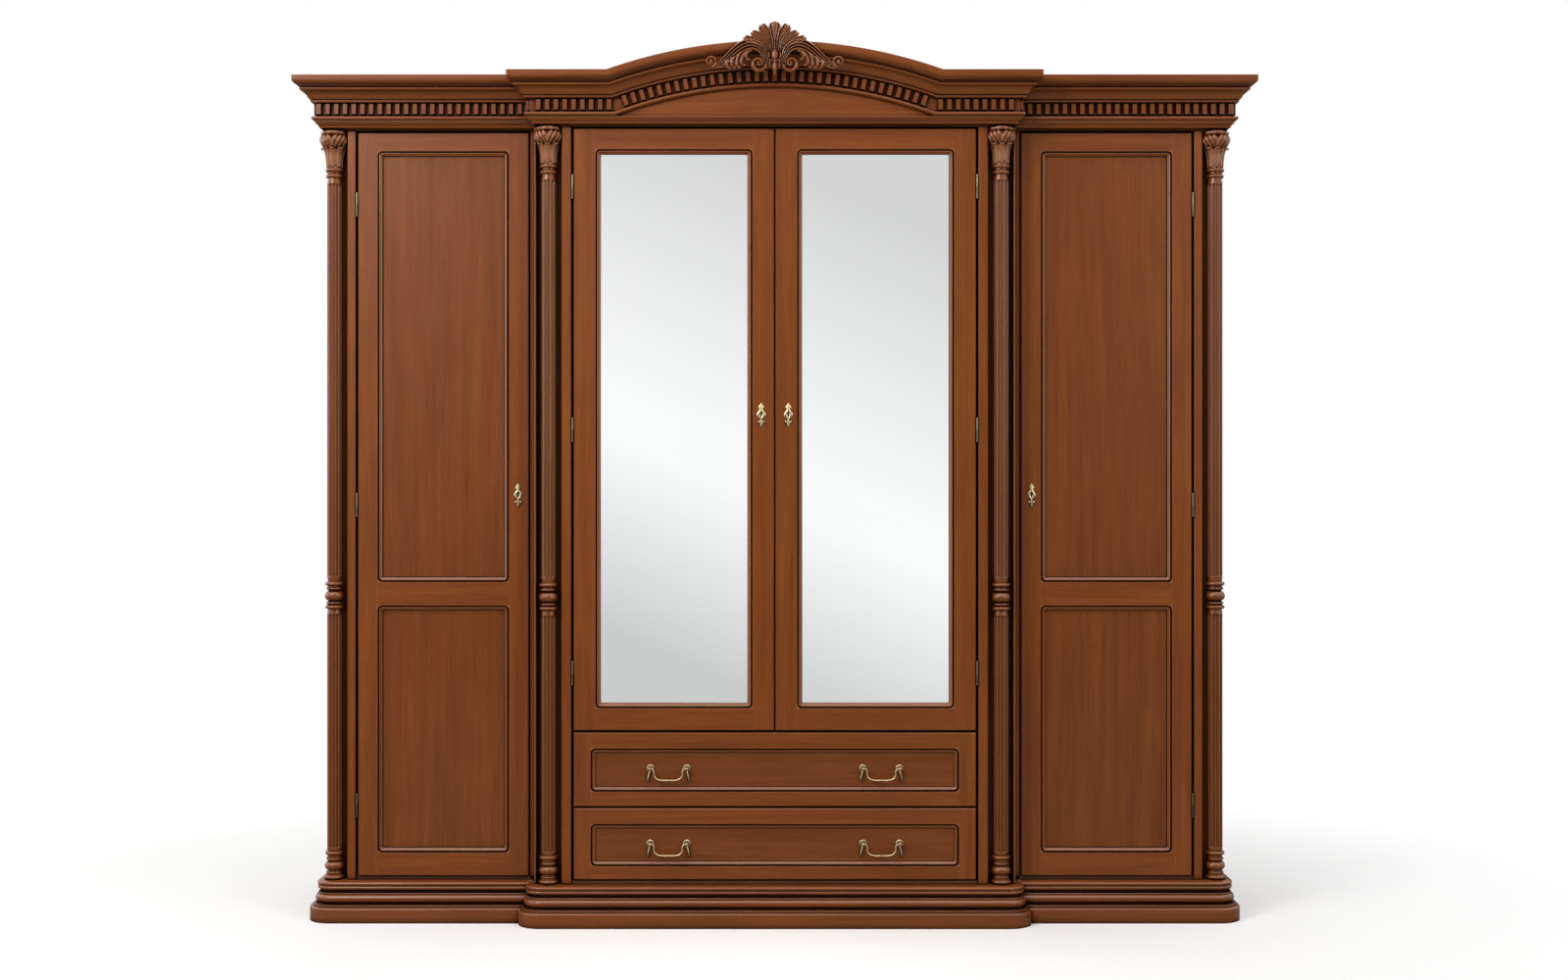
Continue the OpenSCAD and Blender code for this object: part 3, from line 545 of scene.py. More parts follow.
def polished_wood(name, groups, depth=1.0, rub_and_highlight=0.42, polish=0.22, groove=0.86):
    """Stained and glazed wood under a satin lacquer, with painted shade in its grooves, recesses and gaps and
    a painted highlight on its edges. Depth darkens the stain.
    """
    material, nodes, shader = new_material(name)
    look = bpy.context.scene.armoire_wood
    grain = nodes.add("ShaderNodeUVMap", uv_map="Grain").outputs[0]
    wood = grouped(nodes, groups["figure"], {"Grain": grain})
    finish = grouped(nodes, groups["finish"], None)
    light = (*[c * depth for c in look.light], 1)
    dark = (*[c * depth for c in look.dark], 1)
    deep = (*[c * depth * 0.45 for c in look.dark], 1)
    colour = nodes.mix(wood["Figure"], dark, light)
    colour = nodes.mix(nodes.math("MULTIPLY", wood["Mottle"], 0.4), colour, dark)
    colour = nodes.mix(nodes.math("MULTIPLY", wood["Pores"], 0.45), colour, deep)
    # Convex edges lightened: partly wear, partly a painted highlight
    colour = nodes.mix(nodes.math("MULTIPLY", finish["Edge"], rub_and_highlight), colour, (*look.wear_and_highlight, 1))
    # Painted shade: grooves, recesses and gaps between parts go towards the glazing colour; partly real
    # glazing, partly shade
    recess_shade = nodes.math("MAXIMUM", nodes.math("MULTIPLY", finish["Groove"], groove), finish["Seam"])
    colour = nodes.mix(recess_shade, colour, (*look.glaze_and_shade, 1))
    nodes.put(shader.inputs["Base Color"], colour)
    nodes.put(shader.inputs["Roughness"], nodes.between(wood["Figure"], 0, 1, 0.40, 0.33))
    nodes.put(shader.inputs["Specular IOR Level"], nodes.between(recess_shade, 0, 0.8, 0.20, 0.0))
    nodes.put(shader.inputs["Coat Weight"], nodes.between(recess_shade, 0, 0.8, polish, 0.0))
    shader.inputs["Coat Roughness"].default_value = 0.12
    height = nodes.math("SUBTRACT", nodes.math("MULTIPLY", wood["Figure"], 0.35), wood["Pores"])
    bump = nodes.add("ShaderNodeBump", {"Strength": 0.12, "Distance": 0.0003, "Height": height})
    nodes.put(shader.inputs["Normal"], bump.outputs[0])
    return material


def inside_wood(name, groups, order, boards=0.0):
    """Plain lacquered wood for the inside, with painted shade in its grooves and gaps. Order puts the grain's
    own axis first.
    """
    material, nodes, shader = new_material(name)
    place = nodes.add("ShaderNodeTexCoord").outputs["Object"]
    parts = nodes.add("ShaderNodeSeparateXYZ", {0: place}).outputs
    across = nodes.math("ADD", parts[order[1]], parts[order[2]])
    grain = nodes.add("ShaderNodeCombineXYZ", {"X": parts[order[0]], "Y": across}).outputs[0]
    wood = grouped(nodes, groups["figure"], {"Grain": grain})
    colour = nodes.mix(wood["Figure"], (0.17, 0.062, 0.020, 1), (0.30, 0.125, 0.046, 1))
    colour = nodes.mix(nodes.math("MULTIPLY", wood["Mottle"], 0.3), colour, (0.14, 0.050, 0.016, 1))
    colour = nodes.mix(nodes.math("MULTIPLY", wood["Pores"], 0.4), colour, (0.07, 0.025, 0.008, 1))
    height = nodes.math("MULTIPLY", wood["Pores"], -1.0)
    if boards:
        share = nodes.math("FRACT", nodes.math("DIVIDE", parts[order[1]], boards))
        gap = nodes.between(nodes.math("ABSOLUTE", nodes.math("SUBTRACT", share, 0.5)), 0.488, 0.5)
        colour = nodes.mix(gap, colour, (0.03, 0.014, 0.007, 1))
        height = nodes.math("SUBTRACT", height, nodes.math("MULTIPLY", gap, 4.0))
    finish = grouped(nodes, groups["finish"], None)
    # Painted shade: grooves and gaps between parts go near black, where shade falls
    recess_shade = nodes.math("MULTIPLY", nodes.math("MAXIMUM", finish["Groove"], finish["Seam"]), 0.9)
    nodes.put(shader.inputs["Base Color"], nodes.mix(recess_shade, colour, (0.012, 0.005, 0.002, 1)))
    nodes.put(shader.inputs["Roughness"], nodes.between(wood["Figure"], 0, 1, 0.62, 0.5))
    shader.inputs["Specular IOR Level"].default_value = 0.25
    bump = nodes.add("ShaderNodeBump", {"Strength": 0.2, "Distance": 0.0004, "Height": height})
    nodes.put(shader.inputs["Normal"], bump.outputs[0])
    return material


def aged_brass(groups, name="Aged brass", tone=1.0):
    material, nodes, shader = new_material(name)
    look = bpy.context.scene.armoire_metal
    place = nodes.add("ShaderNodeTexCoord").outputs["Object"]
    finish = grouped(nodes, groups["finish"], None)
    cloud = nodes.between(nodes.noise(place, 90.0, 4.0, 0.6), 0.35, 0.68)
    speck = nodes.between(nodes.noise(place, 700.0, 2.0), 0.5, 0.7)
    age = nodes.math("MAXIMUM", nodes.math("MULTIPLY", cloud, 0.45), finish["Seam"])
    age = nodes.math("ADD", age, nodes.math("MULTIPLY", speck, 0.12), clamp=True)
    colour = nodes.mix(age, (*[c * tone for c in look.bright], 1), (*look.tarnish, 1))
    colour = nodes.mix(nodes.math("MULTIPLY", finish["Edge"], 0.4 * tone), colour, (0.72, 0.56, 0.33, 1))
    nodes.put(shader.inputs["Base Color"], colour)
    shader.inputs["Metallic"].default_value = 0.9
    nodes.put(shader.inputs["Roughness"], nodes.between(age, 0, 1, 0.26, 0.55))
    bump = nodes.add("ShaderNodeBump", {"Strength": 0.15, "Distance": 0.0002, "Height": speck})
    nodes.put(shader.inputs["Normal"], bump.outputs[0])
    return material


def silvered_glass():
    """Mirror glass."""
    material, nodes, shader = new_material("Silvered glass")
    place = nodes.add("ShaderNodeTexCoord").outputs["Object"]
    tint = nodes.between(nodes.noise(place, 1.3, 2.0), 0.3, 0.7)
    nodes.put(shader.inputs["Base Color"],
              nodes.mix(tint, (0.955, 0.965, 0.968, 1), (0.965, 0.972, 0.972, 1)))
    shader.inputs["Roughness"].default_value = 0.0
    shader.inputs["Metallic"].default_value = 1.0
    return material


def painted_keyhole_shadow():
    """Painted shadow: the near-black sheet set behind a keyhole in place of the shade inside it."""
    material, nodes, shader = new_material("Keyway shadow")
    place = nodes.add("ShaderNodeTexCoord").outputs["Object"]
    shadow_mottle = nodes.between(nodes.noise(place, 900.0, 2.0), 0.4, 0.7)
    colour = nodes.mix(shadow_mottle, (0.004, 0.003, 0.002, 1), (0.011, 0.008, 0.006, 1))
    nodes.put(shader.inputs["Base Color"], colour)
    shader.inputs["Roughness"].default_value = 0.9
    return material


def materials():
    """The armoire's materials, made once."""
    if "Walnut" not in bpy.data.materials:
        groups = {"figure": figure_group(), "finish": finish_group()}
        polished_wood("Walnut", groups)
        polished_wood("Panel walnut", groups, depth=0.88, rub_and_highlight=0.3)
        polished_wood("Moulding walnut", groups, depth=0.92, rub_and_highlight=0.5, polish=0.38)
        polished_wood("Carved walnut", groups, depth=0.92, rub_and_highlight=0.45, polish=0.45, groove=0.6)
        inside_wood("Inside wood along X", groups, (0, 1, 2))
        inside_wood("Inside wood along Y", groups, (1, 0, 2))
        inside_wood("Inside wood along Z", groups, (2, 0, 1))
        inside_wood("Back boards", groups, (2, 0, 1), boards=0.118)
        aged_brass(groups)
        # Painted shade: a darker copy of the brass, so the hinges read dark in the door gaps
        aged_brass(groups, "Shaded hinge brass", 0.3)
        silvered_glass()
        painted_keyhole_shadow()
    return bpy.data.materials


# ---- Blocks with channels ----


def hollow_block(shape, low, high, hole_low, hole_high, soft=0.0006):
    """A block with a box-shaped channel through it, made of the plates round the channel."""
    a, b = list(low), list(high)
    for k in range(3):
        for cut_low, cut_high in ((a[k], hole_low[k]), (hole_high[k], b[k])):
            if cut_high - cut_low > 0.0002:
                plate_low, plate_high = list(a), list(b)
                plate_low[k], plate_high[k] = cut_low, cut_high
                shape.board(plate_low, plate_high, soft=soft)
        a[k], b[k] = max(a[k], hole_low[k]), min(b[k], hole_high[k])


def across(sign, low, high):
    """Two corners written for the right-hand side, put on the side asked for."""
    xs = sorted((sign * low[0], sign * high[0]))
    return (xs[0], low[1], low[2]), (xs[1], high[1], high[2])


def channelled(shape, sign, low, high, hole_low, hole_high):
    """A hollow block on either side of the middle."""
    low, high = across(sign, low, high)
    hole_low, hole_high = across(sign, hole_low, hole_high)
    hollow_block(shape, low, high, hole_low, hole_high)


# ---- Framed and moulded panels ----


def rounded_stations(rect, width, radius, place):
    """Stations round a rectangle (u0, v0, u1, v1), whose outer corners are rounded."""
    u0, v0, u1, v1 = rect
    stations, distance = [], 0.0
    corners = ((u1, v0, 1, -1, -90), (u1, v1, 1, 1, 0), (u0, v1, -1, 1, 90), (u0, v0, -1, -1, 180))
    before = None
    for u, v, su, sv, start in corners:
        for k in range(5):
            angle = math.radians(start + 22.5 * k)

            def spot(reach, depth, u=u, v=v, su=su, sv=sv, angle=angle):
                r = radius * max(0.0, 1 - reach / width)
                return Vector(place(u - su * (reach + r) + r * math.cos(angle),
                                    v - sv * (reach + r) + r * math.sin(angle), depth))
            if before is not None:
                distance += (spot(0, 0) - before).length
            before = spot(0, 0)
            stations.append((spot, distance))
    return stations


def panel_moulding(shape, rect, profile, place, back=0.016):
    """The moulding round a panel, and the frame's wood in its rounded corners."""
    radius = bpy.context.scene.armoire_shape.corner_radius
    width = profile[-1][0]
    outline = list(profile) + [(width, back), (0, back)]
    shape.sweep(outline, rounded_stations(rect, width, radius, place), ring=True)
    u0, v0, u1, v1 = rect
    for u, v, su, sv, start in ((u1, v0, 1, -1, -90), (u1, v1, 1, 1, 0), (u0, v1, -1, 1, 90),
                                (u0, v0, -1, -1, 180)):
        rim = [(u - su * radius + radius * math.cos(math.radians(start + 22.5 * k)),
                v - sv * radius + radius * math.sin(math.radians(start + 22.5 * k))) for k in range(5)]
        loop = [(u, v)] + rim
        rows = [[place(a, b, d) for a, b in loop] for d in (0.00025, 0.012)]
        shape.grid(rows, [0, 0.012], [0.004 * k for k in range(7)])


def plain_board(shape, place, u0, u1, v0, v1, near, far, grain, edges=None, soft=None):
    """A board given in a face's own directions: u across, v up, and depth behind the face."""
    a, b = place(u0, v0, near), place(u1, v1, far)
    low = [min(p, q) for p, q in zip(a, b)]
    high = [max(p, q) for p, q in zip(a, b)]
    shape.board(low, high, grain, soft=soft, edges=edges)


def edge_sizes(place, names):
    """Softness of the six faces from names u0, u1, v0, v1, near and far."""
    edge = bpy.context.scene.armoire_shape.edge
    base = Vector(place(0, 0, 0))
    steps = {"u": Vector(place(1, 0, 0)) - base, "v": Vector(place(0, 1, 0)) - base,
             "d": Vector(place(0, 0, 1)) - base}
    sizes = [0.0003] * 6
    keys = {"u0": ("u", -1), "u1": ("u", 1), "v0": ("v", -1), "v1": ("v", 1), "near": ("d", -1),
            "far": ("d", 1)}
    for name in names:
        step, sign = keys[name]
        vector = steps[step] * sign
        axis = max(range(3), key=lambda k: abs(vector[k]))
        sizes[2 * axis + (1 if vector[axis] > 0 else 0)] = edge
    return sizes


def framed_door(shape, place, outer, openings, thick, profile, upright, level, panel=None):
    """Stiles, rails, mouldings and panels. Upright and level are the grain axes of the boards."""
    u0, v0, u1, v1 = outer
    left, right = openings[0][0], openings[0][2]
    shape.finish = 0
    plain_board(shape, place, u0, left, v0, v1, 0, thick, upright,
                edge_sizes(place, ("u0", "v0", "v1", "near", "far")))
    plain_board(shape, place, right, u1, v0, v1, 0, thick, upright,
                edge_sizes(place, ("u1", "v0", "v1", "near", "far")))
    heights = [v0] + [h for o in openings for h in (o[1], o[3])] + [v1]
    for i in range(0, len(heights), 2):
        names = ["near", "far"] + (["v0"] if i == 0 else []) + (["v1"] if i == len(heights) - 2 else [])
        plain_board(shape, place, left, right, heights[i], heights[i + 1], 0, thick, level,
                    edge_sizes(place, names))
    for opening in openings:
        shape.finish = 1
        panel_moulding(shape, opening, profile, place)
        if panel:
            shape.finish = 2
            reach = profile[-1][0] - 0.001
            plain_board(shape, place, opening[0] + reach, opening[2] - reach, opening[1] + reach,
                        opening[3] - reach, panel[0], panel[1], upright, soft=0.0002)
    shape.finish = 0


def front_place(face):
    """Sets a panel's plan on a front, at the given face."""
    return lambda u, v, d: (u, face + d, v)


def wood_set():
    """The three wood finishes, in the order of their numbers."""
    made = materials()
    return [made["Walnut"], made["Moulding walnut"], made["Panel walnut"]]


class ARMOIRE_OT_wing_doors(bpy.types.Operator):
    """Makes the two panelled doors of the wings"""

    bl_idname = "armoire.wing_doors"
    bl_label = "Wing Doors"

    def execute(self, context):
        for side, sign in SIDES:
            low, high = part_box(side + "_door_frame")
            near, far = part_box(side + "_door_panels")
            shape = Shape(11 + sign)
            openings = [(near.x, near.z, far.x, MID_RAIL[0]), (near.x, MID_RAIL[1], far.x, far.z)]
            framed_door(shape, front_place(WING_FACE), (low.x, low.z, high.x, high.z), openings,
                        high.y - low.y, PANEL_MOULDING, 2, 0, panel=(0.008, 0.019))
            finished(shape, side + "_door_joinery", side + "_door", wood_set(),
                     (side + "_door_frame", side + "_door_panels"))
        return {"FINISHED"}


class ARMOIRE_OT_mirror_doors(bpy.types.Operator):
    """Makes the frames of the two mirror doors"""

    bl_idname = "armoire.mirror_doors"
    bl_label = "Mirror Doors"

    def execute(self, context):
        for side, sign in SIDES:
            low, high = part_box(side + "_mirror_frame")
            near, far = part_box(side + "_mirror_glass")
            shape = Shape(21 + sign)
            grow = MIRROR_MOULDING[-1][0]
            opening = (near.x - grow, near.z - grow, far.x + grow, far.z + grow)
            framed_door(shape, front_place(CENTRE_FACE), (low.x, low.z, high.x, high.z), [opening],
                        high.y - low.y, MIRROR_MOULDING, 2, 0)
            finished(shape, side + "_mirror_joinery", side + "_mirror_door", wood_set(),
                     (side + "_mirror_frame",))
            glass = materials()["Silvered glass"]
            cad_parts[side + "_mirror_glass"].data.materials[0] = glass
        return {"FINISHED"}


class ARMOIRE_OT_drawer_fronts(bpy.types.Operator):
    """Makes the fronts of the two drawers"""

    bl_idname = "armoire.drawer_fronts"
    bl_label = "Drawer Fronts"

    def execute(self, context):
        for level, rails, seed in (("upper", (0.333, 0.441), 39), ("lower", (0.147, 0.252), 38)):
            low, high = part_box(level + "_drawer_front")
            shape = Shape(seed)
            place = front_place(CENTRE_FACE)
            framed_door(shape, place, (low.x, low.z, high.x, high.z), [(-0.46, rails[0], 0.46, rails[1])],
                        high.y - low.y, PANEL_MOULDING, 2, 0)
            shape.finish = 2
            plain_board(shape, place, -0.447, 0.447, rails[0] + 0.013, rails[1] - 0.013, 0.0068, 0.0235, 0,
                        soft=0.0002)
            finished(shape, level + "_drawer_face", level + "_drawer", wood_set(),
                     (level + "_drawer_front",))
        return {"FINISHED"}


class ARMOIRE_OT_carcass(bpy.types.Operator):
    """Makes the corner posts, jambs and framed sides"""

    bl_idname = "armoire.carcass"
    bl_label = "Posts and Sides"

    def execute(self, context):
        shape = Shape(41)
        soft = context.scene.armoire_shape.edge
        for _, sign in SIDES:
            def post(x0, x1, y0, y1, z0=BASE_TOP, z1=SOFFIT, softness=soft):
                shape.board((min(sign * x0, sign * x1), y0, z0), (max(sign * x0, sign * x1), y1, z1),
                            soft=softness)
            post(0.509, 0.533, CENTRE_FACE, CENTRE_FACE + 0.060)
            post(0.532, PARTITION_X, CENTRE_FACE + 0.050, CENTRE_FACE + 0.060, softness=0.0004)
            post(PARTITION_X - 0.003, PARTITION_X, CENTRE_FACE + 0.006, CENTRE_FACE + 0.055, softness=0.001)
            post(1.061, 1.082, WING_FACE, WING_FACE + 0.060)
            post(1.081, SIDE_X, WING_FACE + 0.050, WING_FACE + 0.060, softness=0.001)
            channelled(shape, sign, (PARTITION_X, WING_FACE + 0.006, BASE_TOP + 0.0085),
                       (0.6195, WING_FACE + 0.040, SOFFIT),
                       (0.6095, WING_FACE + 0.026, WING_LOCK_Z - 0.010),
                       (0.6205, WING_FACE + 0.036, WING_LOCK_Z + 0.010))
        finished(shape, "corner_posts", "carcass", wood_set(),
                 ("left_posts", "centre_posts", "right_posts"))
        for side, sign in SIDES:
            low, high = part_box(side + "_side")
            shape = Shape(45 + sign)
            outer = (low.y, low.z, high.y, high.z)
            place = (lambda u, v, d, sign=sign: (sign * (SIDE_X - d), u, v))
            front, rear = low.y + 0.07, high.y - 0.07
            openings = [(front, 0.175, rear, MID_RAIL[0]), (front, MID_RAIL[1], rear, 1.925)]
            framed_door(shape, place, outer, openings, high.x - low.x, PANEL_MOULDING, 2, 1,
                        panel=(0.008, 0.018))
            finished(shape, side + "_side_panelling", "carcass", wood_set(), (side + "_side",))
        return {"FINISHED"}


# ---- Mouldings ----


def plan_station(x, y, nx, ny, sign=1):
    """A corner of a moulding's run, which reaches out along (nx, ny)."""
    return lambda reach, height: Vector((sign * (x + nx * reach), y + ny * reach, height))


def round_station(x, y, angle, sign=1):
    """On a rounded corner; points behind the corner stay on its mitre."""
    c, s = math.cos(angle), math.sin(angle)

    def place(reach, height):
        if reach >= 0:
            return Vector((sign * (x + c * reach), y - s * reach, height))
        return Vector((sign * (x + reach), y - reach, height))
    return place


def paced(places):
    """Gives each station its distance along the run, measured at the outside."""
    out, distance, before = [], 0.0, None
    for place in places:
        here = place(0.04, 1.0)
        if before is not None:
            distance += (here - before).length
        before = here
        out.append((place, distance))
    return out


class ARMOIRE_OT_base(bpy.types.Operator):
    """Makes the base mouldings and the rails behind them"""

    bl_idname = "armoire.base"
    bl_label = "Base"

    def execute(self, context):
        shape = Shape(51)
        shape.finish = 1
        outline = base_outline()
        turns = [math.radians(11.25 * k) for k in range(9)]
        left = [plan_station(CENTRE_BASE_X, WING_AXIS + 0.02, 1, 0, -1)]
        left += [round_station(CENTRE_BASE_X, CENTRE_AXIS, a, -1) for a in turns]
        right = [round_station(CENTRE_BASE_X, CENTRE_AXIS, a) for a in reversed(turns)]
        right += [plan_station(CENTRE_BASE_X, WING_AXIS + 0.02, 1, 0)]
        shape.sweep(outline, paced(left + right))
        for _, sign in SIDES:
            run = [plan_station(CENTRE_BASE_X + 0.018, WING_AXIS, 0, -1, sign)]
            run += [round_station(OUTER_COLUMN, WING_AXIS, a, sign) for a in reversed(turns)]
            shape.sweep(outline, paced(run + [plan_station(OUTER_COLUMN, BACK, 1, 0, sign)]))
        shape.finish = 0
        for _, sign in SIDES:
            ends = sorted((sign * 0.562, sign * 0.582))
            shape.board((ends[0], WING_AXIS + 0.02, 0), (ends[1], BACK - 0.01, 0.094), 1)
            ends = sorted((sign * 0.583, sign * 1.097))
            shape.board((ends[0], BACK - 0.03, 0), (ends[1], BACK - 0.01, 0.094), 0)
        shape.board((-0.5615, BACK - 0.03, 0), (0.5615, BACK - 0.01, 0.094), 0)
        finished(shape, "base_mouldings", "carcass", wood_set(),
                 ("left_base", "centre_base", "right_base"))
        return {"FINISHED"}


def arch_radius(height):
    """Radius of the arch's curve that springs from this height."""
    return ARCH_RADIUS - (SLAB_TOP - height)


def arch_end(height):
    """Half the width of the arch's curve that springs from this height."""
    return math.sqrt(arch_radius(height) ** 2 - (height - ARCH_CENTRE) ** 2)


def arch_station(share):
    """A place along the arch, from -1 at its left end to 1 at its right."""
    def place(reach, height):
        r = arch_radius(height)
        turn = share * math.asin(arch_end(height) / r)
        return Vector((r * math.sin(turn), CENTRE_AXIS - reach, ARCH_CENTRE + r * math.cos(turn)))
    return place


def tympanum(shape):
    """The plain field under the arch."""
    low, lift = CORNICE_SEAM - 0.001, 0.004
    radius = arch_radius(CORNICE_SEAM)
    turns = [math.asin(arch_end(CORNICE_SEAM) / radius) * (-1 + k / 16) for k in range(33)]
    r = radius + lift
    rows = []
    for depth in (0.038, 0.017):
        top = [(r * math.sin(t), CENTRE_AXIS - depth, ARCH_CENTRE + r * math.cos(t)) for t in turns]
        rows.append([(p[0], p[1], low) for p in top] + top[::-1])
    base = len(shape.points)
    for row in rows:
        shape.points += row
    n = len(turns)
    for k, row in enumerate(rows):
        for i in range(n - 1):
            ids = [i, i + 1, 2 * n - 2 - i, 2 * n - 1 - i]
            shape.face([base + k * 2 * n + j for j in ids], [(row[j][0] + 3, row[j][2]) for j in ids])
    front = rows[0]
    for i in range(2 * n):
        j = (i + 1) % (2 * n)
        shape.face([base + i, base + j, base + 2 * n + j, base + 2 * n + i],
                   [(front[i][0], 0), (front[j][0], 0), (front[j][0], 0.02), (front[i][0], 0.02)])


class ARMOIRE_OT_cornice(bpy.types.Operator):
    """Makes the cornice, its arch and the field under the arch"""

    bl_idname = "armoire.cornice"
    bl_label = "Cornice"

    def execute(self, context):
        shape = Shape(61)
        shape.finish = 1
        x, y = CENTRE_CORNICE_X, CENTRE_AXIS
        rear = WING_AXIS + 0.012
        ends = [plan_station(x, rear, 1, 0, -1), plan_station(x, y, 1, -1, -1)]
        close = [plan_station(x, y, 1, -1), plan_station(x, rear, 1, 0)]
        arched = [arch_station(-1 + k / 16) for k in range(33)]
        shape.sweep(cornice_foot(-10), paced(ends + close))
        # The back of the soffit, with a pocket for the mirror doors' top bolt
        hollow_block(shape, (-0.565, y + 0.0101, 1.9961), (0.565, y + 0.0199, 2.0168),
                     (-0.030, y + 0.009, 1.995), (-0.014, y + 0.021, 2.008))
        shape.sweep(cornice_head(), paced(ends + arched + close))
        # The wings' runs are set a hair off the centre's, so that no two faces share a plane
        for _, sign in SIDES:
            run = [plan_station(x + 0.01, WING_AXIS, 0, -1, sign),
                   plan_station(OUTER_COLUMN, WING_AXIS, 1, -1, sign),
                   plan_station(OUTER_COLUMN, BACK, 1, 0, sign)]
            for outline, lift in ((cornice_foot(), 0.0003), (cornice_head(), -0.0003)):
                shape.sweep([(reach, height + lift) for reach, height in outline], paced(run))
        shape.finish = 0
        tympanum(shape)
        finished(shape, "cornice_mouldings", "carcass", wood_set(),
                 ("left_cornice", "centre_cornice", "right_cornice"))
        return {"FINISHED"}


# ---- What repeats, and the fluted columns ----


def tree_for(name, inputs):
    """A Geometry Nodes tree with named inputs, each (label, socket type, default)."""
    tree = bpy.data.node_groups.new(name, "GeometryNodeTree")
    tree.interface.new_socket("Geometry", in_out="INPUT", socket_type="NodeSocketGeometry")
    for label, kind, default in inputs:
        socket = tree.interface.new_socket(label, in_out="INPUT", socket_type=kind)
        if default is not None:
            socket.default_value = default
    tree.interface.new_socket("Geometry", in_out="OUTPUT", socket_type="NodeSocketGeometry")
    return tree, Nodes(tree)


def close_tree(nodes, geometry, material):
    realised = nodes.add("GeometryNodeRealizeInstances", {"Geometry": geometry}).outputs[0]
    done = nodes.add("GeometryNodeSetMaterial", {"Geometry": realised, "Material": material}).outputs[0]
    nodes.add("NodeGroupOutput", {"Geometry": done})


def copies_tree():
    """One copy of an item on every point, turned by the point's own turn."""
    if "Copies on points" in bpy.data.node_groups:
        return bpy.data.node_groups["Copies on points"]
    tree, nodes = tree_for("Copies on points", (
        ("Item", "NodeSocketObject", None), ("Scale", "NodeSocketVector", (1, 1, 1)),
        ("Material", "NodeSocketMaterial", None)))
    given_in = nodes.add("NodeGroupInput").outputs
    item = nodes.add("GeometryNodeObjectInfo", {"Object": given_in["Item"]}).outputs["Geometry"]
    turn = nodes.add("GeometryNodeInputNamedAttribute", {"Name": "turn"}, data_type="FLOAT_VECTOR").outputs[0]
    copies = nodes.add("GeometryNodeInstanceOnPoints", {
        "Points": given_in["Geometry"], "Instance": item, "Rotation": turn,
        "Scale": given_in["Scale"]}).outputs[0]
    close_tree(nodes, copies, given_in["Material"])
    return tree


def fluted_tree():
    """Presses round-ended flutes into the two lengths of a turned shaft, then sets it on every point."""
    tree, nodes = tree_for("Fluted column", (
        ("Column", "NodeSocketObject", None), ("Flutes", "NodeSocketInt", 12),
        ("Depth", "NodeSocketFloat", 0.0026), ("Shaft radius", "NodeSocketFloat", 0.0185),
        ("Lower shaft", "NodeSocketVector", (0.177, 0.776, 0)),
        ("Upper shaft", "NodeSocketVector", (0.864, 1.866, 0)), ("Material", "NodeSocketMaterial", None)))
    given_in = nodes.add("NodeGroupInput").outputs
    shaft = nodes.add("GeometryNodeObjectInfo", {"Object": given_in["Column"]}).outputs["Geometry"]
    place = nodes.add("GeometryNodeInputPosition").outputs[0]
    x, y, z = nodes.add("ShaderNodeSeparateXYZ", {0: place}).outputs
    depth = given_in["Depth"]
    ends = None
    for label in ("Lower shaft", "Upper shaft"):
        low, high, _ = nodes.add("ShaderNodeSeparateXYZ", {0: given_in[label]}).outputs
        inside = nodes.math("MINIMUM", nodes.math("SUBTRACT", z, low), nodes.math("SUBTRACT", high, z))
        ends = inside if ends is None else nodes.math("MAXIMUM", ends, inside)
    end = nodes.math("DIVIDE", nodes.math("SUBTRACT", ends, 0.003), 0.0045, clamp=True)
    rounded = nodes.math("SUBTRACT", 1.0, nodes.math("POWER", nodes.math("SUBTRACT", 1.0, end), 2.0))
    reach = nodes.math("MULTIPLY", nodes.math("SQRT", rounded), 0.80)
    turns = nodes.math("MULTIPLY", nodes.math("ARCTAN2", y, x), 1 / (2 * math.pi))
    share = nodes.math("FRACT", nodes.math("ADD", nodes.math("MULTIPLY", turns, given_in["Flutes"]), 24.25))
    side = nodes.math("MULTIPLY", nodes.math("ABSOLUTE", nodes.math("SUBTRACT", share, 0.5)), 2.0)
    ratio = nodes.math("DIVIDE", side, nodes.math("MAXIMUM", reach, 0.001), clamp=True)
    hollow = nodes.math("SQRT", nodes.math("SUBTRACT", 1.0, nodes.math("POWER", ratio, 2.0)))
    inward = nodes.math("MULTIPLY", nodes.math("MULTIPLY", hollow, depth), nodes.math("SQRT", rounded))
    outward = nodes.add("ShaderNodeCombineXYZ", {"X": x, "Y": y}).outputs[0]
    unit = nodes.add("ShaderNodeVectorMath", {0: outward}, operation="NORMALIZE").outputs[0]
    shift = nodes.add("ShaderNodeVectorMath", {0: unit}, operation="SCALE")
    nodes.put(shift.inputs["Scale"], nodes.math("MULTIPLY", inward, -1.0))
    fluted = nodes.add("GeometryNodeSetPosition", {"Geometry": shaft, "Offset": shift.outputs[0]}).outputs[0]
    copies = nodes.add("GeometryNodeInstanceOnPoints", {
        "Points": given_in["Geometry"], "Instance": fluted}).outputs[0]
    close_tree(nodes, copies, given_in["Material"])
    return tree


def loose_object(name, mesh):
    """An object linked to the scene."""
    item = bpy.data.objects.new(name, mesh)
    bpy.context.scene.collection.objects.link(item)
    return item


def item_from(shape, name):
    """A shape as a loose object for copying."""
    mesh = bpy.data.meshes.new(name)
    mesh.from_pydata(shape.points, [], shape.faces)
    layer = mesh.uv_layers.new(name="Grain")
    layer.data.foreach_set("uv", [v for face in shape.grain for uv in face for v in uv])
    work = bmesh.new()
    work.from_mesh(mesh)
    bmesh.ops.remove_doubles(work, verts=work.verts, dist=2e-6)
    bmesh.ops.recalc_face_normals(work, faces=work.faces)
    work.to_mesh(mesh)
    work.free()
    mesh.shade_smooth()
    mesh.set_sharp_from_angle(angle=math.radians(34))
    return loose_object(name, mesh)


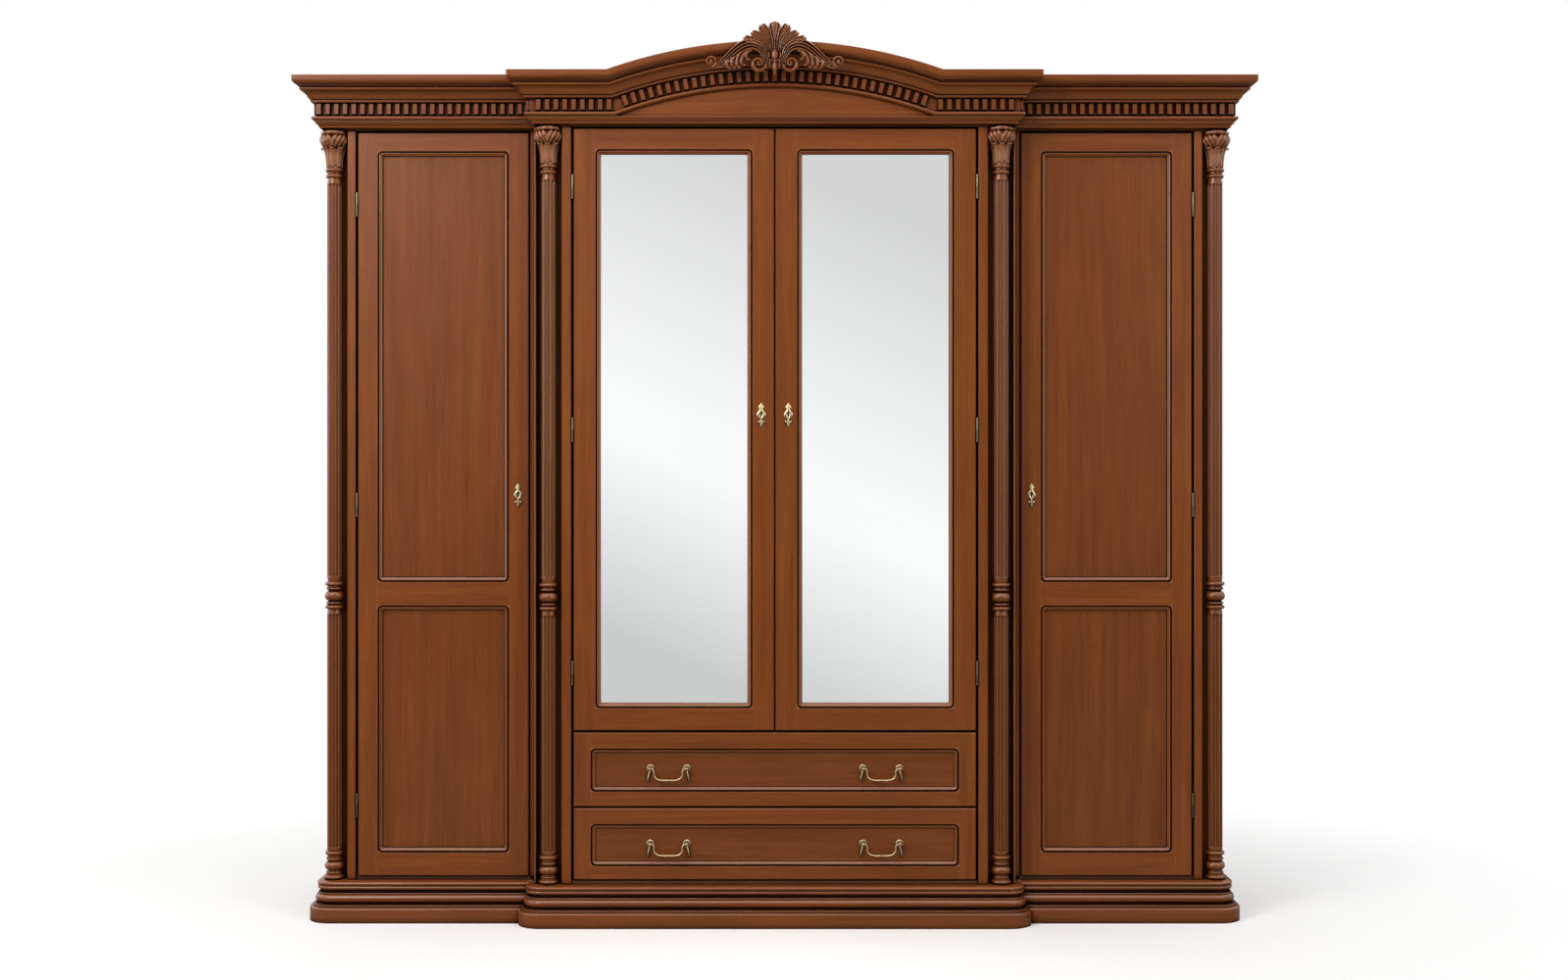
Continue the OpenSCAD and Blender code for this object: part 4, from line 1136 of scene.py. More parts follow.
def baked(name, places, tree, inputs, items, material, smooth=34):
    """Runs a tree on points, each (place, turn), and keeps the result as a plain mesh."""
    mesh = bpy.data.meshes.new(name + "_points")
    mesh.from_pydata([p for p, _ in places], [], [])
    turn = mesh.attributes.new("turn", "FLOAT_VECTOR", "POINT")
    turn.data.foreach_set("vector", [v for _, t in places for v in t])
    holder = loose_object(name + "_points", mesh)
    modifier = holder.modifiers.new("Copies", "NODES")
    modifier.node_group = tree
    sockets = {s.name: s.identifier for s in tree.interface.items_tree if s.in_out == "INPUT"}
    for label, value in dict(inputs, Material=material).items():
        modifier[sockets[label]] = value
    graph = bpy.context.evaluated_depsgraph_get()
    result = bpy.data.meshes.new_from_object(holder.evaluated_get(graph), depsgraph=graph)
    for item in [holder] + items:
        bpy.data.objects.remove(item)
    result.name = name
    result.shade_smooth()
    result.set_sharp_from_angle(angle=math.radians(smooth))
    piece = bpy.data.objects.new(name, result)
    bpy.context.scene.collection.objects.link(piece)
    if not piece.data.materials:
        piece.data.materials.append(material)
    piece.data.materials[0] = material
    return piece


class ARMOIRE_OT_dentils(bpy.types.Operator):
    """Sets the dentils along the cornice and its arch"""

    bl_idname = "armoire.dentils"
    bl_label = "Dentils"

    def execute(self, context):
        pitch = context.scene.armoire_shape.dentil_pitch
        block = Shape(71)
        block.board((-0.00585, -0.0097, 0), (0.00585, 0.0005, 0.027), soft=0.0013)
        places = []
        r = arch_radius(DENTIL_Z)
        for i in range(-17, 18):
            turn = i * pitch / r
            places.append(((r * math.sin(turn), CENTRE_AXIS - BAND_REACH, ARCH_CENTRE + r * math.cos(turn)),
                           (0, turn, 0)))
        for _, sign in SIDES:
            x = arch_end(DENTIL_Z) + pitch * 0.6
            while x <= CENTRE_CORNICE_X + BAND_REACH - 0.00585:
                places.append(((sign * x, CENTRE_AXIS - BAND_REACH, DENTIL_Z), (0, 0, 0)))
                x += pitch
            for i in range(2):
                places.append(((sign * (CENTRE_CORNICE_X + BAND_REACH), CENTRE_AXIS - 0.027 + i * pitch,
                                DENTIL_Z), (0, 0, sign * math.pi / 2)))
            x = OUTER_COLUMN + BAND_REACH - 0.00585
            while x >= CENTRE_CORNICE_X + BAND_REACH + pitch:
                places.append(((sign * x, WING_AXIS - BAND_REACH, DENTIL_Z), (0, 0, 0)))
                x -= pitch
            for i in range(22):
                places.append(((sign * (OUTER_COLUMN + BAND_REACH), WING_AXIS - 0.024 + i * pitch, DENTIL_Z),
                               (0, 0, sign * math.pi / 2)))
        item = item_from(block, "dentil")
        piece = baked("dentil_course", places, copies_tree(), {"Item": item}, [item],
                      materials()["Moulding walnut"])
        given(piece, "carcass", ("dentils",))
        return {"FINISHED"}


def column_places():
    """Foot and turn of each of the four columns."""
    return [((sign * x, y, 0), (0, 0, 0)) for _, sign in SIDES
            for x, y in ((INNER_COLUMN, CENTRE_AXIS), (OUTER_COLUMN, WING_AXIS))]


class ARMOIRE_OT_columns(bpy.types.Operator):
    """Turns the columns and cuts their flutes"""

    bl_idname = "armoire.columns"
    bl_label = "Fluted Columns"

    def execute(self, context):
        look = context.scene.armoire_shape
        shape = Shape(81)
        shape.lathe(column_outline(), (0, 0, 0), steps=12 * look.flutes)
        item = item_from(shape, "column")
        piece = baked("fluted_columns", column_places(), fluted_tree(), {
            "Column": item, "Flutes": look.flutes, "Depth": look.flute_depth}, [item],
            materials()["Moulding walnut"], smooth=38)
        given(piece, "carcass", (
            "left_outer_column", "left_inner_column", "right_inner_column", "right_outer_column"))
        return {"FINISHED"}


# ---- Carving ----


def ringed(radius, height, angle):
    """A point round a column, its angle taken from the front."""
    return Vector((radius * math.sin(angle), -radius * math.cos(angle), height))


def capital_shape():
    """Bell, two tiers of leaves, swirling gadroons and abacus, about the origin at the necking."""
    shape = Shape(91)
    shape.lathe(millimetres([(14, -0.2), (19, 0), (17.5, 3), (16.5, 18), (18.5, 36), (21, 46), (20, 52),
                             (25, 60), (29, 68), (30, 76), (26, 81), (26, 84)]), (0, 0, 0), 40)
    shape.lathe(millimetres([(20, 82.5), (31, 82.5), (33, 83.6), (34, 85.6), (34, 89), (33, 91.2),
                             (31, 92.6), (20, 92.8)]), (0, 0, 0), 44)
    for i in range(8):
        a = math.radians(i * 45)
        profile = [(17.6, 2), (17.8, 12), (18.6, 24), (20.6, 36), (24.2, 45), (28.4, 50), (31, 49.6),
                   (31.6, 46.4)]
        spine = smooth_path([ringed(r / 1000, h / 1000, a) for r, h in profile], 3)
        outs = [Vector((math.sin(a), -math.cos(a), 0.25 * (k / len(spine)) ** 2)).normalized()
                for k in range(len(spine))]
        widths = tapered(len(spine), 0.0068, 0.6, 0.25, 0.55)
        shape.petal(spine, outs, widths, 0.0026)
        for s in (-1, 1):
            vein = [p + o * 0.0016 + Vector((math.cos(a), math.sin(a), 0)) * s * w * 0.55
                    for p, o, w in zip(spine, outs, widths)]
            shape.petal(vein, outs, [w * 0.22 for w in widths], 0.0018)
        b = a + math.radians(22.5)
        low = [(17, 6), (17.4, 22), (19, 36), (22.5, 45), (25, 47)]
        spine = smooth_path([ringed(r / 1000, h / 1000, b) for r, h in low], 3)
        out = Vector((math.sin(b), -math.cos(b), 0.1)).normalized()
        shape.petal(spine, out, tapered(len(spine), 0.0046, 0.6, 0.2), 0.0022)
    for i in range(18):
        a = math.radians(-180 + 20 * i + 10)
        lean = -1 if math.sin(a) > 0 else 1
        path = [(22.5, 50, 0.34), (28.5, 57, 0.22), (33.2, 65, 0.08), (34.6, 72.5, -0.05), (32.4, 79, -0.16),
                (27.5, 82.5, -0.24)]
        spine = smooth_path([ringed(r / 1000, h / 1000, a + lean * w) for r, h, w in path], 3)
        outs = []
        for k, p in enumerate(spine):
            rise = -0.75 + 1.5 * k / (len(spine) - 1)
            outs.append(Vector((p.x, p.y, rise * Vector((p.x, p.y)).length)).normalized())
        shape.petal(spine, outs, tapered(len(spine), 0.0052, 0.42, 0.3, 0.6), 0.0032)
    for i in range(12):
        a = math.radians(30 * i + 15)
        eye = [(31.0, 84.4), (33.6, 85.4), (34.3, 87.6), (33.6, 89.8), (31.2, 90.6)]
        spine = [ringed(r / 1000, h / 1000, a) for r, h in eye]
        shape.petal(spine, Vector((math.sin(a), -math.cos(a), 0)), [0.003, 0.004, 0.0045, 0.004, 0.003],
                    0.0008)
    return shape


class ARMOIRE_OT_capitals(bpy.types.Operator):
    """Carves the four capitals"""

    bl_idname = "armoire.capitals"
    bl_label = "Capitals"

    def execute(self, context):
        item = item_from(capital_shape(), "capital")
        places = [((x, y, lowest("capitals").z), turn) for (x, y, _), turn in column_places()]
        piece = baked("carved_capitals", places, copies_tree(), {"Item": item}, [item],
                      materials()["Carved walnut"], smooth=50)
        given(piece, "carcass", ("capitals",))
        return {"FINISHED"}


def relief(shape, points, widths, thick, depth, lift=None):
    """A carved strand in front of the cornice, its points (x, height over SHELL_Z) in millimetres."""
    flat = smooth_path([Vector((x / 1000, 0, SHELL_Z + z / 1000)) for x, z in points], 5)
    n = len(flat)
    half = smooth_values(widths, n)
    lifts = smooth_values(lift, n) if lift else [0] * n
    spine = [Vector((p.x, CREST_BACK - depth - u / 1000, p.z)) for p, u in zip(flat, lifts)]
    shape.petal(spine, Vector((0, -1, 0)), [w / 1000 for w in half], thick / 1000)


def smooth_values(values, count):
    """The values spread evenly over a count, straight between each two."""
    out = []
    for k in range(count):
        t = k / (count - 1) * (len(values) - 1)
        i = min(int(t), len(values) - 2)
        out.append(values[i] + (values[i + 1] - values[i]) * (t - i))
    return out


def offset_line(points, shifts):
    """The line moved to its left by a distance at each point."""
    out = []
    for k, (x, z) in enumerate(points):
        a, b = points[max(0, k - 1)], points[min(len(points) - 1, k + 1)]
        d = Vector((b[0] - a[0], b[1] - a[1])).normalized()
        out.append((x - d.y * shifts[k], z + d.x * shifts[k]))
    return out


def volute(cx, cz, r, start, turns, inner=0.2, steps=22):
    """Points of a spiral that winds in to its eye; angles in degrees, turns signed."""
    out = []
    for k in range(steps):
        t = k / (steps - 1)
        a = math.radians(start + 360 * turns * t)
        rr = r * (1 - (1 - inner) * t)
        out.append((cx + rr * math.cos(a), cz + rr * math.sin(a)))
    return out


def shell(shape):
    """A fluted bud between three lobes on each side."""
    relief(shape, [(0, -6), (0, 18), (0, 40), (0, 54), (0, 62), (0, 64.2)], [3, 5.5, 10.5, 13.4, 10.5, 6],
           7.5, 0.0005, [1, 4, 6.5, 8, 7.5, 6])
    lobes = ((((5, -8), (10, 17), (20, 38), (31, 51.5), (34, 54.5)), (2.5, 6, 10.5, 12, 6)),
             (((8, -8), (16, 10), (32, 26.5), (51, 35), (56, 36.5)), (2.5, 5.5, 9, 10, 5)),
             (((11, -9), (24, 4), (45, 15), (68, 23), (74, 24.5)), (2.5, 5, 8, 9, 5)))
    for _, sign in SIDES:
        relief(shape, [(sign * x, z) for x, z in ((3.2, 0), (6, 20), (10.5, 42), (12.4, 54), (9, 61))],
               [1, 1.5, 2.1, 2.4, 1.6], 4.2, 0.0045, [2, 4.5, 6.2, 7, 6.5])
        for half, widths in lobes:
            points = [(sign * x, z) for x, z in half]
            relief(shape, points, widths, 3.2, 0.0005, [1, 3.5, 6, 7.5, 6.5])
            for f in (-0.75, -0.28, 0.28, 0.75):
                rib = offset_line(points, [w * f for w in widths])
                relief(shape, rib, [w * 0.2 for w in widths[:-1]] + [1.6], 2.6, 0.0026,
                       [1, 3.6, 6.2, 8, 6.8])
            x, z = half[-1]
            tip = [(sign * (x - 5), z - 3), (sign * (x + 0.5), z - 1), (sign * x, z + 0.5)]
            relief(shape, tip, [2.6, 4.4, 2.2], 4.0, 0.0075, [2, 3.4, 2])


def middle_drop(shape):
    """Bud, beads and reeds that hang under the shell."""
    for x, z, half_width, half_height, bulge in (
            (0, -17, 9.0, 13, 8), (0, -45, 7.0, 14, 7), (-14, -17, 4.2, 6, 5), (14, -17, 4.2, 6, 5),
            (-11.4, -38, 3.6, 9.5, 5), (11.4, -38, 3.6, 9.5, 5)):
        points = [(x, z + half_height * t) for t in (1, 0.8, 0.4, 0, -0.4, -0.8, -1)]
        relief(shape, points, [half_width * f for f in (0.25, 0.62, 0.93, 1, 0.9, 0.58, 0.2)], bulge, 0.007)
    relief(shape, [(-8, -30.5), (0, -31.5), (8, -30.5)], [1.8, 2.4, 1.8], 4.5, 0.008)
    relief(shape, [(0, -56), (0, -61), (0, -66)], [3.4, 2.4, 0.8], 4, 0.005)


def scroll(shape, sign):
    """One side's scroll, from the inner volute over the top to the outer one, and its leaf fingers."""

    def strand(points, widths, thick, depth, lift=None):
        relief(shape, [(sign * x, z) for x, z in points], widths, thick, depth, lift)
    body = [(21, -46), (22.5, -25), (32, -3), (49, 8), (66, 8.5), (84, 1), (103, -14), (120, -29),
            (137, -41), (151, -46)]
    wide = [5, 7, 10.5, 13.5, 14.5, 14, 12.5, 10.5, 7.5, 4.5]
    rise = [0, 2, 4, 5, 5.5, 5, 4, 3, 2, 1]
    strand(body, wide, 2.4, 0.0005, rise)
    for f in (-0.78, -0.26, 0.26, 0.78):
        line = offset_line(body, [w * f for w in wide])
        strand(line, [max(1.2, w * 0.23) for w in wide], 5.6, 0.0018, rise)
    strand(volute(40, -38, 19.5, 188, 1.25), smooth_values([3.6, 4.6, 4.2, 3.4, 2.4], 22), 4.8, 0.004,
           [1, 2, 3, 4.5, 5.5])
    strand(volute(158, -33, 14.5, 255, -1.3), smooth_values([3.4, 4.0, 3.4, 2.8, 2.2], 22), 4.4, 0.004,
           [1, 1.5, 2, 3, 4])
    for x, z, r in ((40, -38, 4.6), (158, -33, 3.8)):
        eye = [(x, z + r), (x, z + r / 3), (x, z - r / 3), (x, z - r)]
        strand(eye, [r * 0.5, r, r, r * 0.5], 6, 0.006)
    for x0, z0, x1, z1 in ((56, -4, 67, -27), (68, -7, 78, -41), (82, -11, 89, -47), (96, -21, 101, -48),
                           (110, -32, 113, -48)):
        path = [(x0, z0), (x0 + 9, (z0 + z1) / 2 + 7), (x1 + 5, z1 + 9), (x1 + 1, z1), (x1 - 6, z1 - 1)]
        strand(path, [2.4, 4.6, 4.4, 3.4, 1.6], 4.6, 0.002, [4, 5, 4.5, 4.5, 5])


class ARMOIRE_OT_crest(bpy.types.Operator):
    """Carves the shell and scrolls on the arch"""

    bl_idname = "armoire.crest"
    bl_label = "Crest"

    def execute(self, context):
        shape = Shape(101)
        shell(shape)
        middle_drop(shape)
        for _, sign in SIDES:
            scroll(shape, sign)
        # Block that seats the carving on the slab
        shape.board((-0.05, CREST_BACK - 0.0005, SLAB_TOP + ARCH_RISE + 0.0003),
                    (0.05, CREST_BACK + 0.0135, SLAB_TOP + ARCH_RISE + 0.022), 0, soft=0.002)
        finished(shape, "crest_carving", "carcass", [materials()["Carved walnut"]],
                 ("crest",))
        return {"FINISHED"}


# ---- Fittings ----


def mirrored_loop(points):
    """A half outline closed by its mirror image."""
    return list(points) + [(-x, z) for x, z in reversed(points[1:-1])]


def ball(shape, centre, radius):
    """A small ball."""
    shape.lathe([(radius * math.cos(math.radians(a)), radius * math.sin(math.radians(a)))
                 for a in range(-80, 81, 20)], centre, 12, axis=1)


def escutcheon(shape, x, face, z):
    """Arrow cap, neck, body round its keyhole, two balls and a drop."""
    outer = mirrored_loop([(0, 12.5), (3.6, 12), (6, 10), (8.8, 6.3), (11.3, 1.6), (9.9, -2.6), (7.6, -7),
                           (4.2, -11), (0, -13)])
    inner = mirrored_loop([(0, 8.5), (1.0, 7.4), (1.8, 5.6), (2.4, 3.6), (2.7, 1.6), (2.5, -0.6), (2.0, -2.8),
                           (1.1, -4.9), (0, -6.5)])
    rows = []
    for share, depth in ((0, -0.2), (0, 1.3), (0.25, 2.5), (0.6, 2.9), (0.88, 2.2), (1, 1.4), (1, -0.2)):
        rows.append([(x + (a + (c - a) * share) / 1000, face - depth / 1000, z + (b + (d - b) * share) / 1000)
                     for (a, b), (c, d) in zip(outer, inner)])
    shape.grid(rows, [0.002 * k for k in range(8)], [0.004 * k for k in range(17)], ring=True)

    def part(points, widths, thick, depth=0.0002):
        spine = [Vector((x + a / 1000, face - depth, z + b / 1000)) for a, b in points]
        shape.petal(spine, Vector((0, -1, 0)), [w / 1000 for w in widths], thick / 1000)
    part([(0, 31), (0, 28), (0, 22), (0, 18.4), (0, 17.4)], [0.6, 2.6, 6.4, 8.2, 7.0], 2.8)
    part([(0, 24), (0, 20), (0, 16), (0, 11)], [1.2, 3.4, 4.6, 5.4], 2.4, 0.0009)
    part([(0, -11), (0, -15), (0, -20), (0, -26), (0, -31)], [2.4, 3.2, 5.2, 3.4, 0.6], 3.0)
    for side in (-1, 1):
        ball(shape, (x + side * 0.0062, face - 0.0012, z - 0.0178), 0.0037)
    # Painted shadow: a near-black sheet behind the keyhole
    shape.finish = 1
    shape.board((x - 0.0032, face - 0.0004, z - 0.0070), (x + 0.0032, face + 0.0002, z + 0.0090),
                soft=0.00005)
    shape.finish = 0


def brass_set():
    """The brass and the painted keyhole shadow, in the order of their numbers."""
    return [materials()["Aged brass"], materials()["Keyway shadow"]]


class ARMOIRE_OT_locks(bpy.types.Operator):
    """Makes the escutcheons, lock cases, strike and bolt guides"""

    bl_idname = "armoire.locks"
    bl_label = "Locks"

    def execute(self, context):
        for side, sign in SIDES:
            shape = Shape(111 + sign)
            x0, y, z = lowest("right_door_frame").x + 0.002, WING_FACE + 0.024, WING_LOCK_Z
            escutcheon(shape, sign * (x0 + 0.024), WING_FACE, z)
            channelled(shape, sign, (x0, y, z - 0.035), (x0 + 0.048, y + 0.014, z + 0.035),
                       (x0 - 0.001, y + 0.0035, z - 0.0075), (x0 + 0.042, y + 0.0105, z + 0.0075))
            for dx in (0.008, 0.040):
                for dz in (-0.028, 0.028):
                    ball(shape, (sign * (x0 + dx), y + 0.0132, z + dz), 0.0026)
            finished(shape, side + "_door_lockwork", side + "_door", brass_set(),
                     (side + "_door_lock",))
        for side, sign in SIDES:
            shape = Shape(115 + sign)
            y, z = CENTRE_FACE + 0.024, MIRROR_LOCK_Z
            escutcheon(shape, sign * 0.034, CENTRE_FACE, z)
            if side == "right":
                channelled(shape, 1, (0.0025, y, z - 0.035), (0.0575, y + 0.014, z + 0.035),
                           (0.0015, y + 0.0035, z - 0.0075), (0.0515, y + 0.0105, z + 0.0075))
                for dx in (0.010, 0.048):
                    for dz in (-0.028, 0.028):
                        ball(shape, (dx, y + 0.0132, z + dz), 0.0026)
            else:
                channelled(shape, -1, (0.0025, y, z - 0.020), (0.0235, y + 0.014, z + 0.020),
                           (0.0015, y + 0.003, z - 0.0085), (0.0175, y + 0.011, z + 0.0085))
                for low in (1.850, 1.940):
                    channelled(shape, -1, (0.013, y, low), (0.031, y + 0.015, low + 0.014),
                               (0.0175, y + 0.0035, low - 0.001), (0.0265, y + 0.0125, low + 0.015))
            finished(shape, side + "_mirror_lockwork", side + "_mirror_door", brass_set(),
                     (side + "_mirror_lock",))
        return {"FINISHED"}


class ARMOIRE_OT_handles(bpy.types.Operator):
    """Makes the drawer handles: rosettes, posts and swinging bails"""

    bl_idname = "armoire.handles"
    bl_label = "Drawer Handles"

    def execute(self, context):
        rosette = millimetres([(9.2, -0.3), (9.6, 0.6), (9.4, 2.0), (8.4, 3.0), (7.2, 3.2), (6.2, 2.6),
                               (5.4, 1.8), (4.4, 2.0), (3.6, 3.4), (3.0, 6.0), (2.9, 10.5), (3.4, 13.0),
                               (4.3, 14.8), (4.6, 17.0), (4.2, 19.2), (2.9, 21.0), (1.0, 21.8)])
        hanging_leaf = ((0.001, 0.004, 0.006), (0.0022, 0.0062, 0.012), (0.0040, 0.0060, 0.020),
                        (0.0056, 0.0045, 0.028), (0.0066, 0.0030, 0.0325))
        leaf_radii = [0.0016, 0.0015, 0.0018, 0.0024, 0.0028, 0.0019]
        for level, z, seed in HANDLES:
            shape = Shape(seed)
            y = CENTRE_FACE + 0.0070
            for _, sign in SIDES:
                for s in (-1, 1):
                    x = sign * HANDLE_X + s * POST_SPACING / 2
                    shape.lathe(rosette, (x, y, z), 28, axis=1)
                    leaf = smooth_path([(x + s * a, y - b, z - c) for a, b, c in hanging_leaf], 4)
                    shape.tube(leaf, smooth_values(leaf_radii, len(leaf)))
            finished(shape, level + "_rosettes", level + "_drawer", brass_set(),
                     (level + "_handle_posts",))
            for side, sign in SIDES:
                shape = Shape(131 + sign)
                half = [(44.6, 0), (40.4, 0.2), (37.2, -2.2), (35.3, -8), (35.6, -14.5), (33, -21), (27, -26),
                        (17, -28.2), (8, -28.6)]
                loop = [(-a, b) for a, b in half] + [(0, -28.7)] + [(a, b) for a, b in reversed(half)]
                centre = sign * HANDLE_X
                path = smooth_path([(centre + a / 1000, BAIL_AXIS, z + b / 1000) for a, b in loop], 4)
                sizes = [1.45, 1.5, 1.9, 2.1, 2.1, 2.1, 2.0, 1.9, 2.3, 3.3]
                radii = smooth_values([r / 1000 for r in sizes + sizes[-2::-1]], len(path))
                shape.tube(path, radii, 12)
                for dx in (-0.0085, 0.0085):
                    here = centre + dx
                    ring = [(here + d, BAIL_AXIS, z - 0.0286) for d in (-0.0011, -0.0005, 0.0005, 0.0011)]
                    shape.tube(ring, [0.0022, 0.0031, 0.0031, 0.0022], 12)
                bail = level + "_" + side + "_bail"
                finished(shape, bail + "_casting", bail, brass_set(), (bail,))
        return {"FINISHED"}


class ARMOIRE_OT_screws(bpy.types.Operator):
    """Sets slotted screws on the hinge leaves"""

    bl_idname = "armoire.screws"
    bl_label = "Hinge Screws"

    def execute(self, context):
        shape = Shape(141)
        for side in (-1, 1):
            rows = []
            for h, w in ((0.0, 1.0), (0.0005, 0.97), (0.0007, 0.8)):
                rim = [(math.cos(a), math.sin(a)) for a in (math.radians(14 + 19 * k) for k in range(9))]
                rows.append([(0.0019 * w * c, side * max(0.0019 * w * s, 0.0003), h) for c, s in rim])
            shape.grid(rows, [0, 0.001, 0.002], [0.001 * k for k in range(10)])
        item = item_from(shape, "screw")
        places = []
        for axis_x, face, heights, body in ((1.058, WING_FACE, (0.29, 1.05, 1.81), "door"),
                                            (0.506, CENTRE_FACE, (0.63, 1.238, 1.846), "mirror_door")):
            for side, sign in SIDES:
                for z in heights:
                    for dz in (0.008, 0.015, 0.023):
                        places.append(((sign * (axis_x - 0.0012), face + 0.012 + 0.003 * (dz > 0.01), z + dz),
                                       (0, sign * math.pi / 2, 0), side + "_" + body))
        for body in sorted({p[2] for p in places}):
            own = [(p, t) for p, t, b in places if b == body]
            copy = loose_object("screw_copy", item.data.copy())
            piece = baked(body + "_screws", own, copies_tree(), {"Item": copy}, [copy],
                          materials()["Aged brass"])
            given(piece, body)
        bpy.data.objects.remove(item)
        return {"FINISHED"}


class ARMOIRE_OT_frame_finishes(bpy.types.Operator):
    """Gives the frame's own pieces their materials"""

    bl_idname = "armoire.frame_finishes"
    bl_label = "Frame Finishes"

    def execute(self, context):
        made = materials()
        finishes = {"Inside wood along X": ("floor_boards", "top_boards", "shelves", "drawer_dividers"),
                    "Inside wood along Y": ("drawer_runners", "upper_drawer_box", "lower_drawer_box"),
                    "Inside wood along Z": ("left_partition", "right_partition", "left_mirror_back",
                                            "right_mirror_back"),
                    "Back boards": ("back_boards",),
                    "Silvered glass": ("left_mirror_glass", "right_mirror_glass"),
                    "Aged brass": ("hanging_rods", "left_door_bolt", "right_door_bolt", "left_mirror_bolt",
                                   "right_mirror_bolt"),
                    "Shaded hinge brass": ("hinge_pins", "left_door_hinges", "right_door_hinges",
                                   "left_mirror_hinges", "right_mirror_hinges")}
        for name, nodes in finishes.items():
            for node in nodes:
                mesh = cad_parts[node].data
                if not mesh.materials:
                    mesh.materials.append(made[name])
                for i in range(len(mesh.materials)):
                    mesh.materials[i] = made[name]
        return {"FINISHED"}


# ---- Stage ----


def area_light(name, place, target, size, power, colour=(1, 1, 1)):
    light = bpy.data.lights.new(name, "AREA")
    light.shape, light.size, light.size_y = "RECTANGLE", size[0], size[1]
    light.energy, light.color = power, colour
    lamp = loose_object(name, light)
    lamp.location = place
    lamp.rotation_euler = (Vector(target) - Vector(place)).to_track_quat("-Z", "Y").to_euler()
    return lamp


def sky():
    """Soft light: mirrors see a bright band in front, polished wood a dim room with bright sides."""
    world = bpy.data.worlds.new("Studio")
    bpy.context.scene.world = world
    world.use_nodes = True
    nodes = Nodes(world.node_tree)
    background = world.node_tree.nodes["Background"]
    way = nodes.add("ShaderNodeTexCoord").outputs["Generated"]
    x, y, z = nodes.add("ShaderNodeSeparateXYZ", {0: way}).outputs
    front = nodes.math("LESS_THAN", y, 0.0)
    level = nodes.math("ADD", z, nodes.math("MULTIPLY", x, 0.42))
    rise = nodes.between(level, -0.115, -0.015, 0.62, 0.985)
    fall = nodes.between(level, 0.01, 0.16, 0.985, 0.68)
    soft = nodes.math("MINIMUM", rise, fall)
    seen = nodes.math("ADD", nodes.math("MULTIPLY", soft, front), nodes.math("SUBTRACT", 1.0, front))
    slant = nodes.math("SUBTRACT", z, nodes.math("MULTIPLY", x, 0.8))
    upper_left = nodes.between(slant, 0.04, 0.36, 0.0, 0.85)
    above = nodes.between(z, 0.35, 0.75, 0.0, 3.6)
    left = nodes.between(x, -0.45, -0.85, 0.0, 3.2)
    right = nodes.between(x, 0.55, 0.9, 0.0, 1.8)
    high_left = nodes.math("MAXIMUM", above, left)
    sides = nodes.math("MAXIMUM", high_left, nodes.math("MAXIMUM", right, upper_left))
    dim = nodes.math("ADD", sides, 0.05)
    path = nodes.add("ShaderNodeLightPath").outputs
    sharp = nodes.math("MAXIMUM", path["Is Camera Ray"], path["Is Singular Ray"])
    glossy = path["Is Glossy Ray"]
    rough = nodes.add("ShaderNodeMix", {0: glossy, 2: 0.42, 3: dim}, data_type="FLOAT").outputs[0]
    strength = nodes.add("ShaderNodeMix", {0: sharp, 2: rough, 3: seen}, data_type="FLOAT").outputs[0]
    nodes.put(background.inputs["Strength"], strength)
    background.inputs["Color"].default_value = (1, 1, 1, 1)


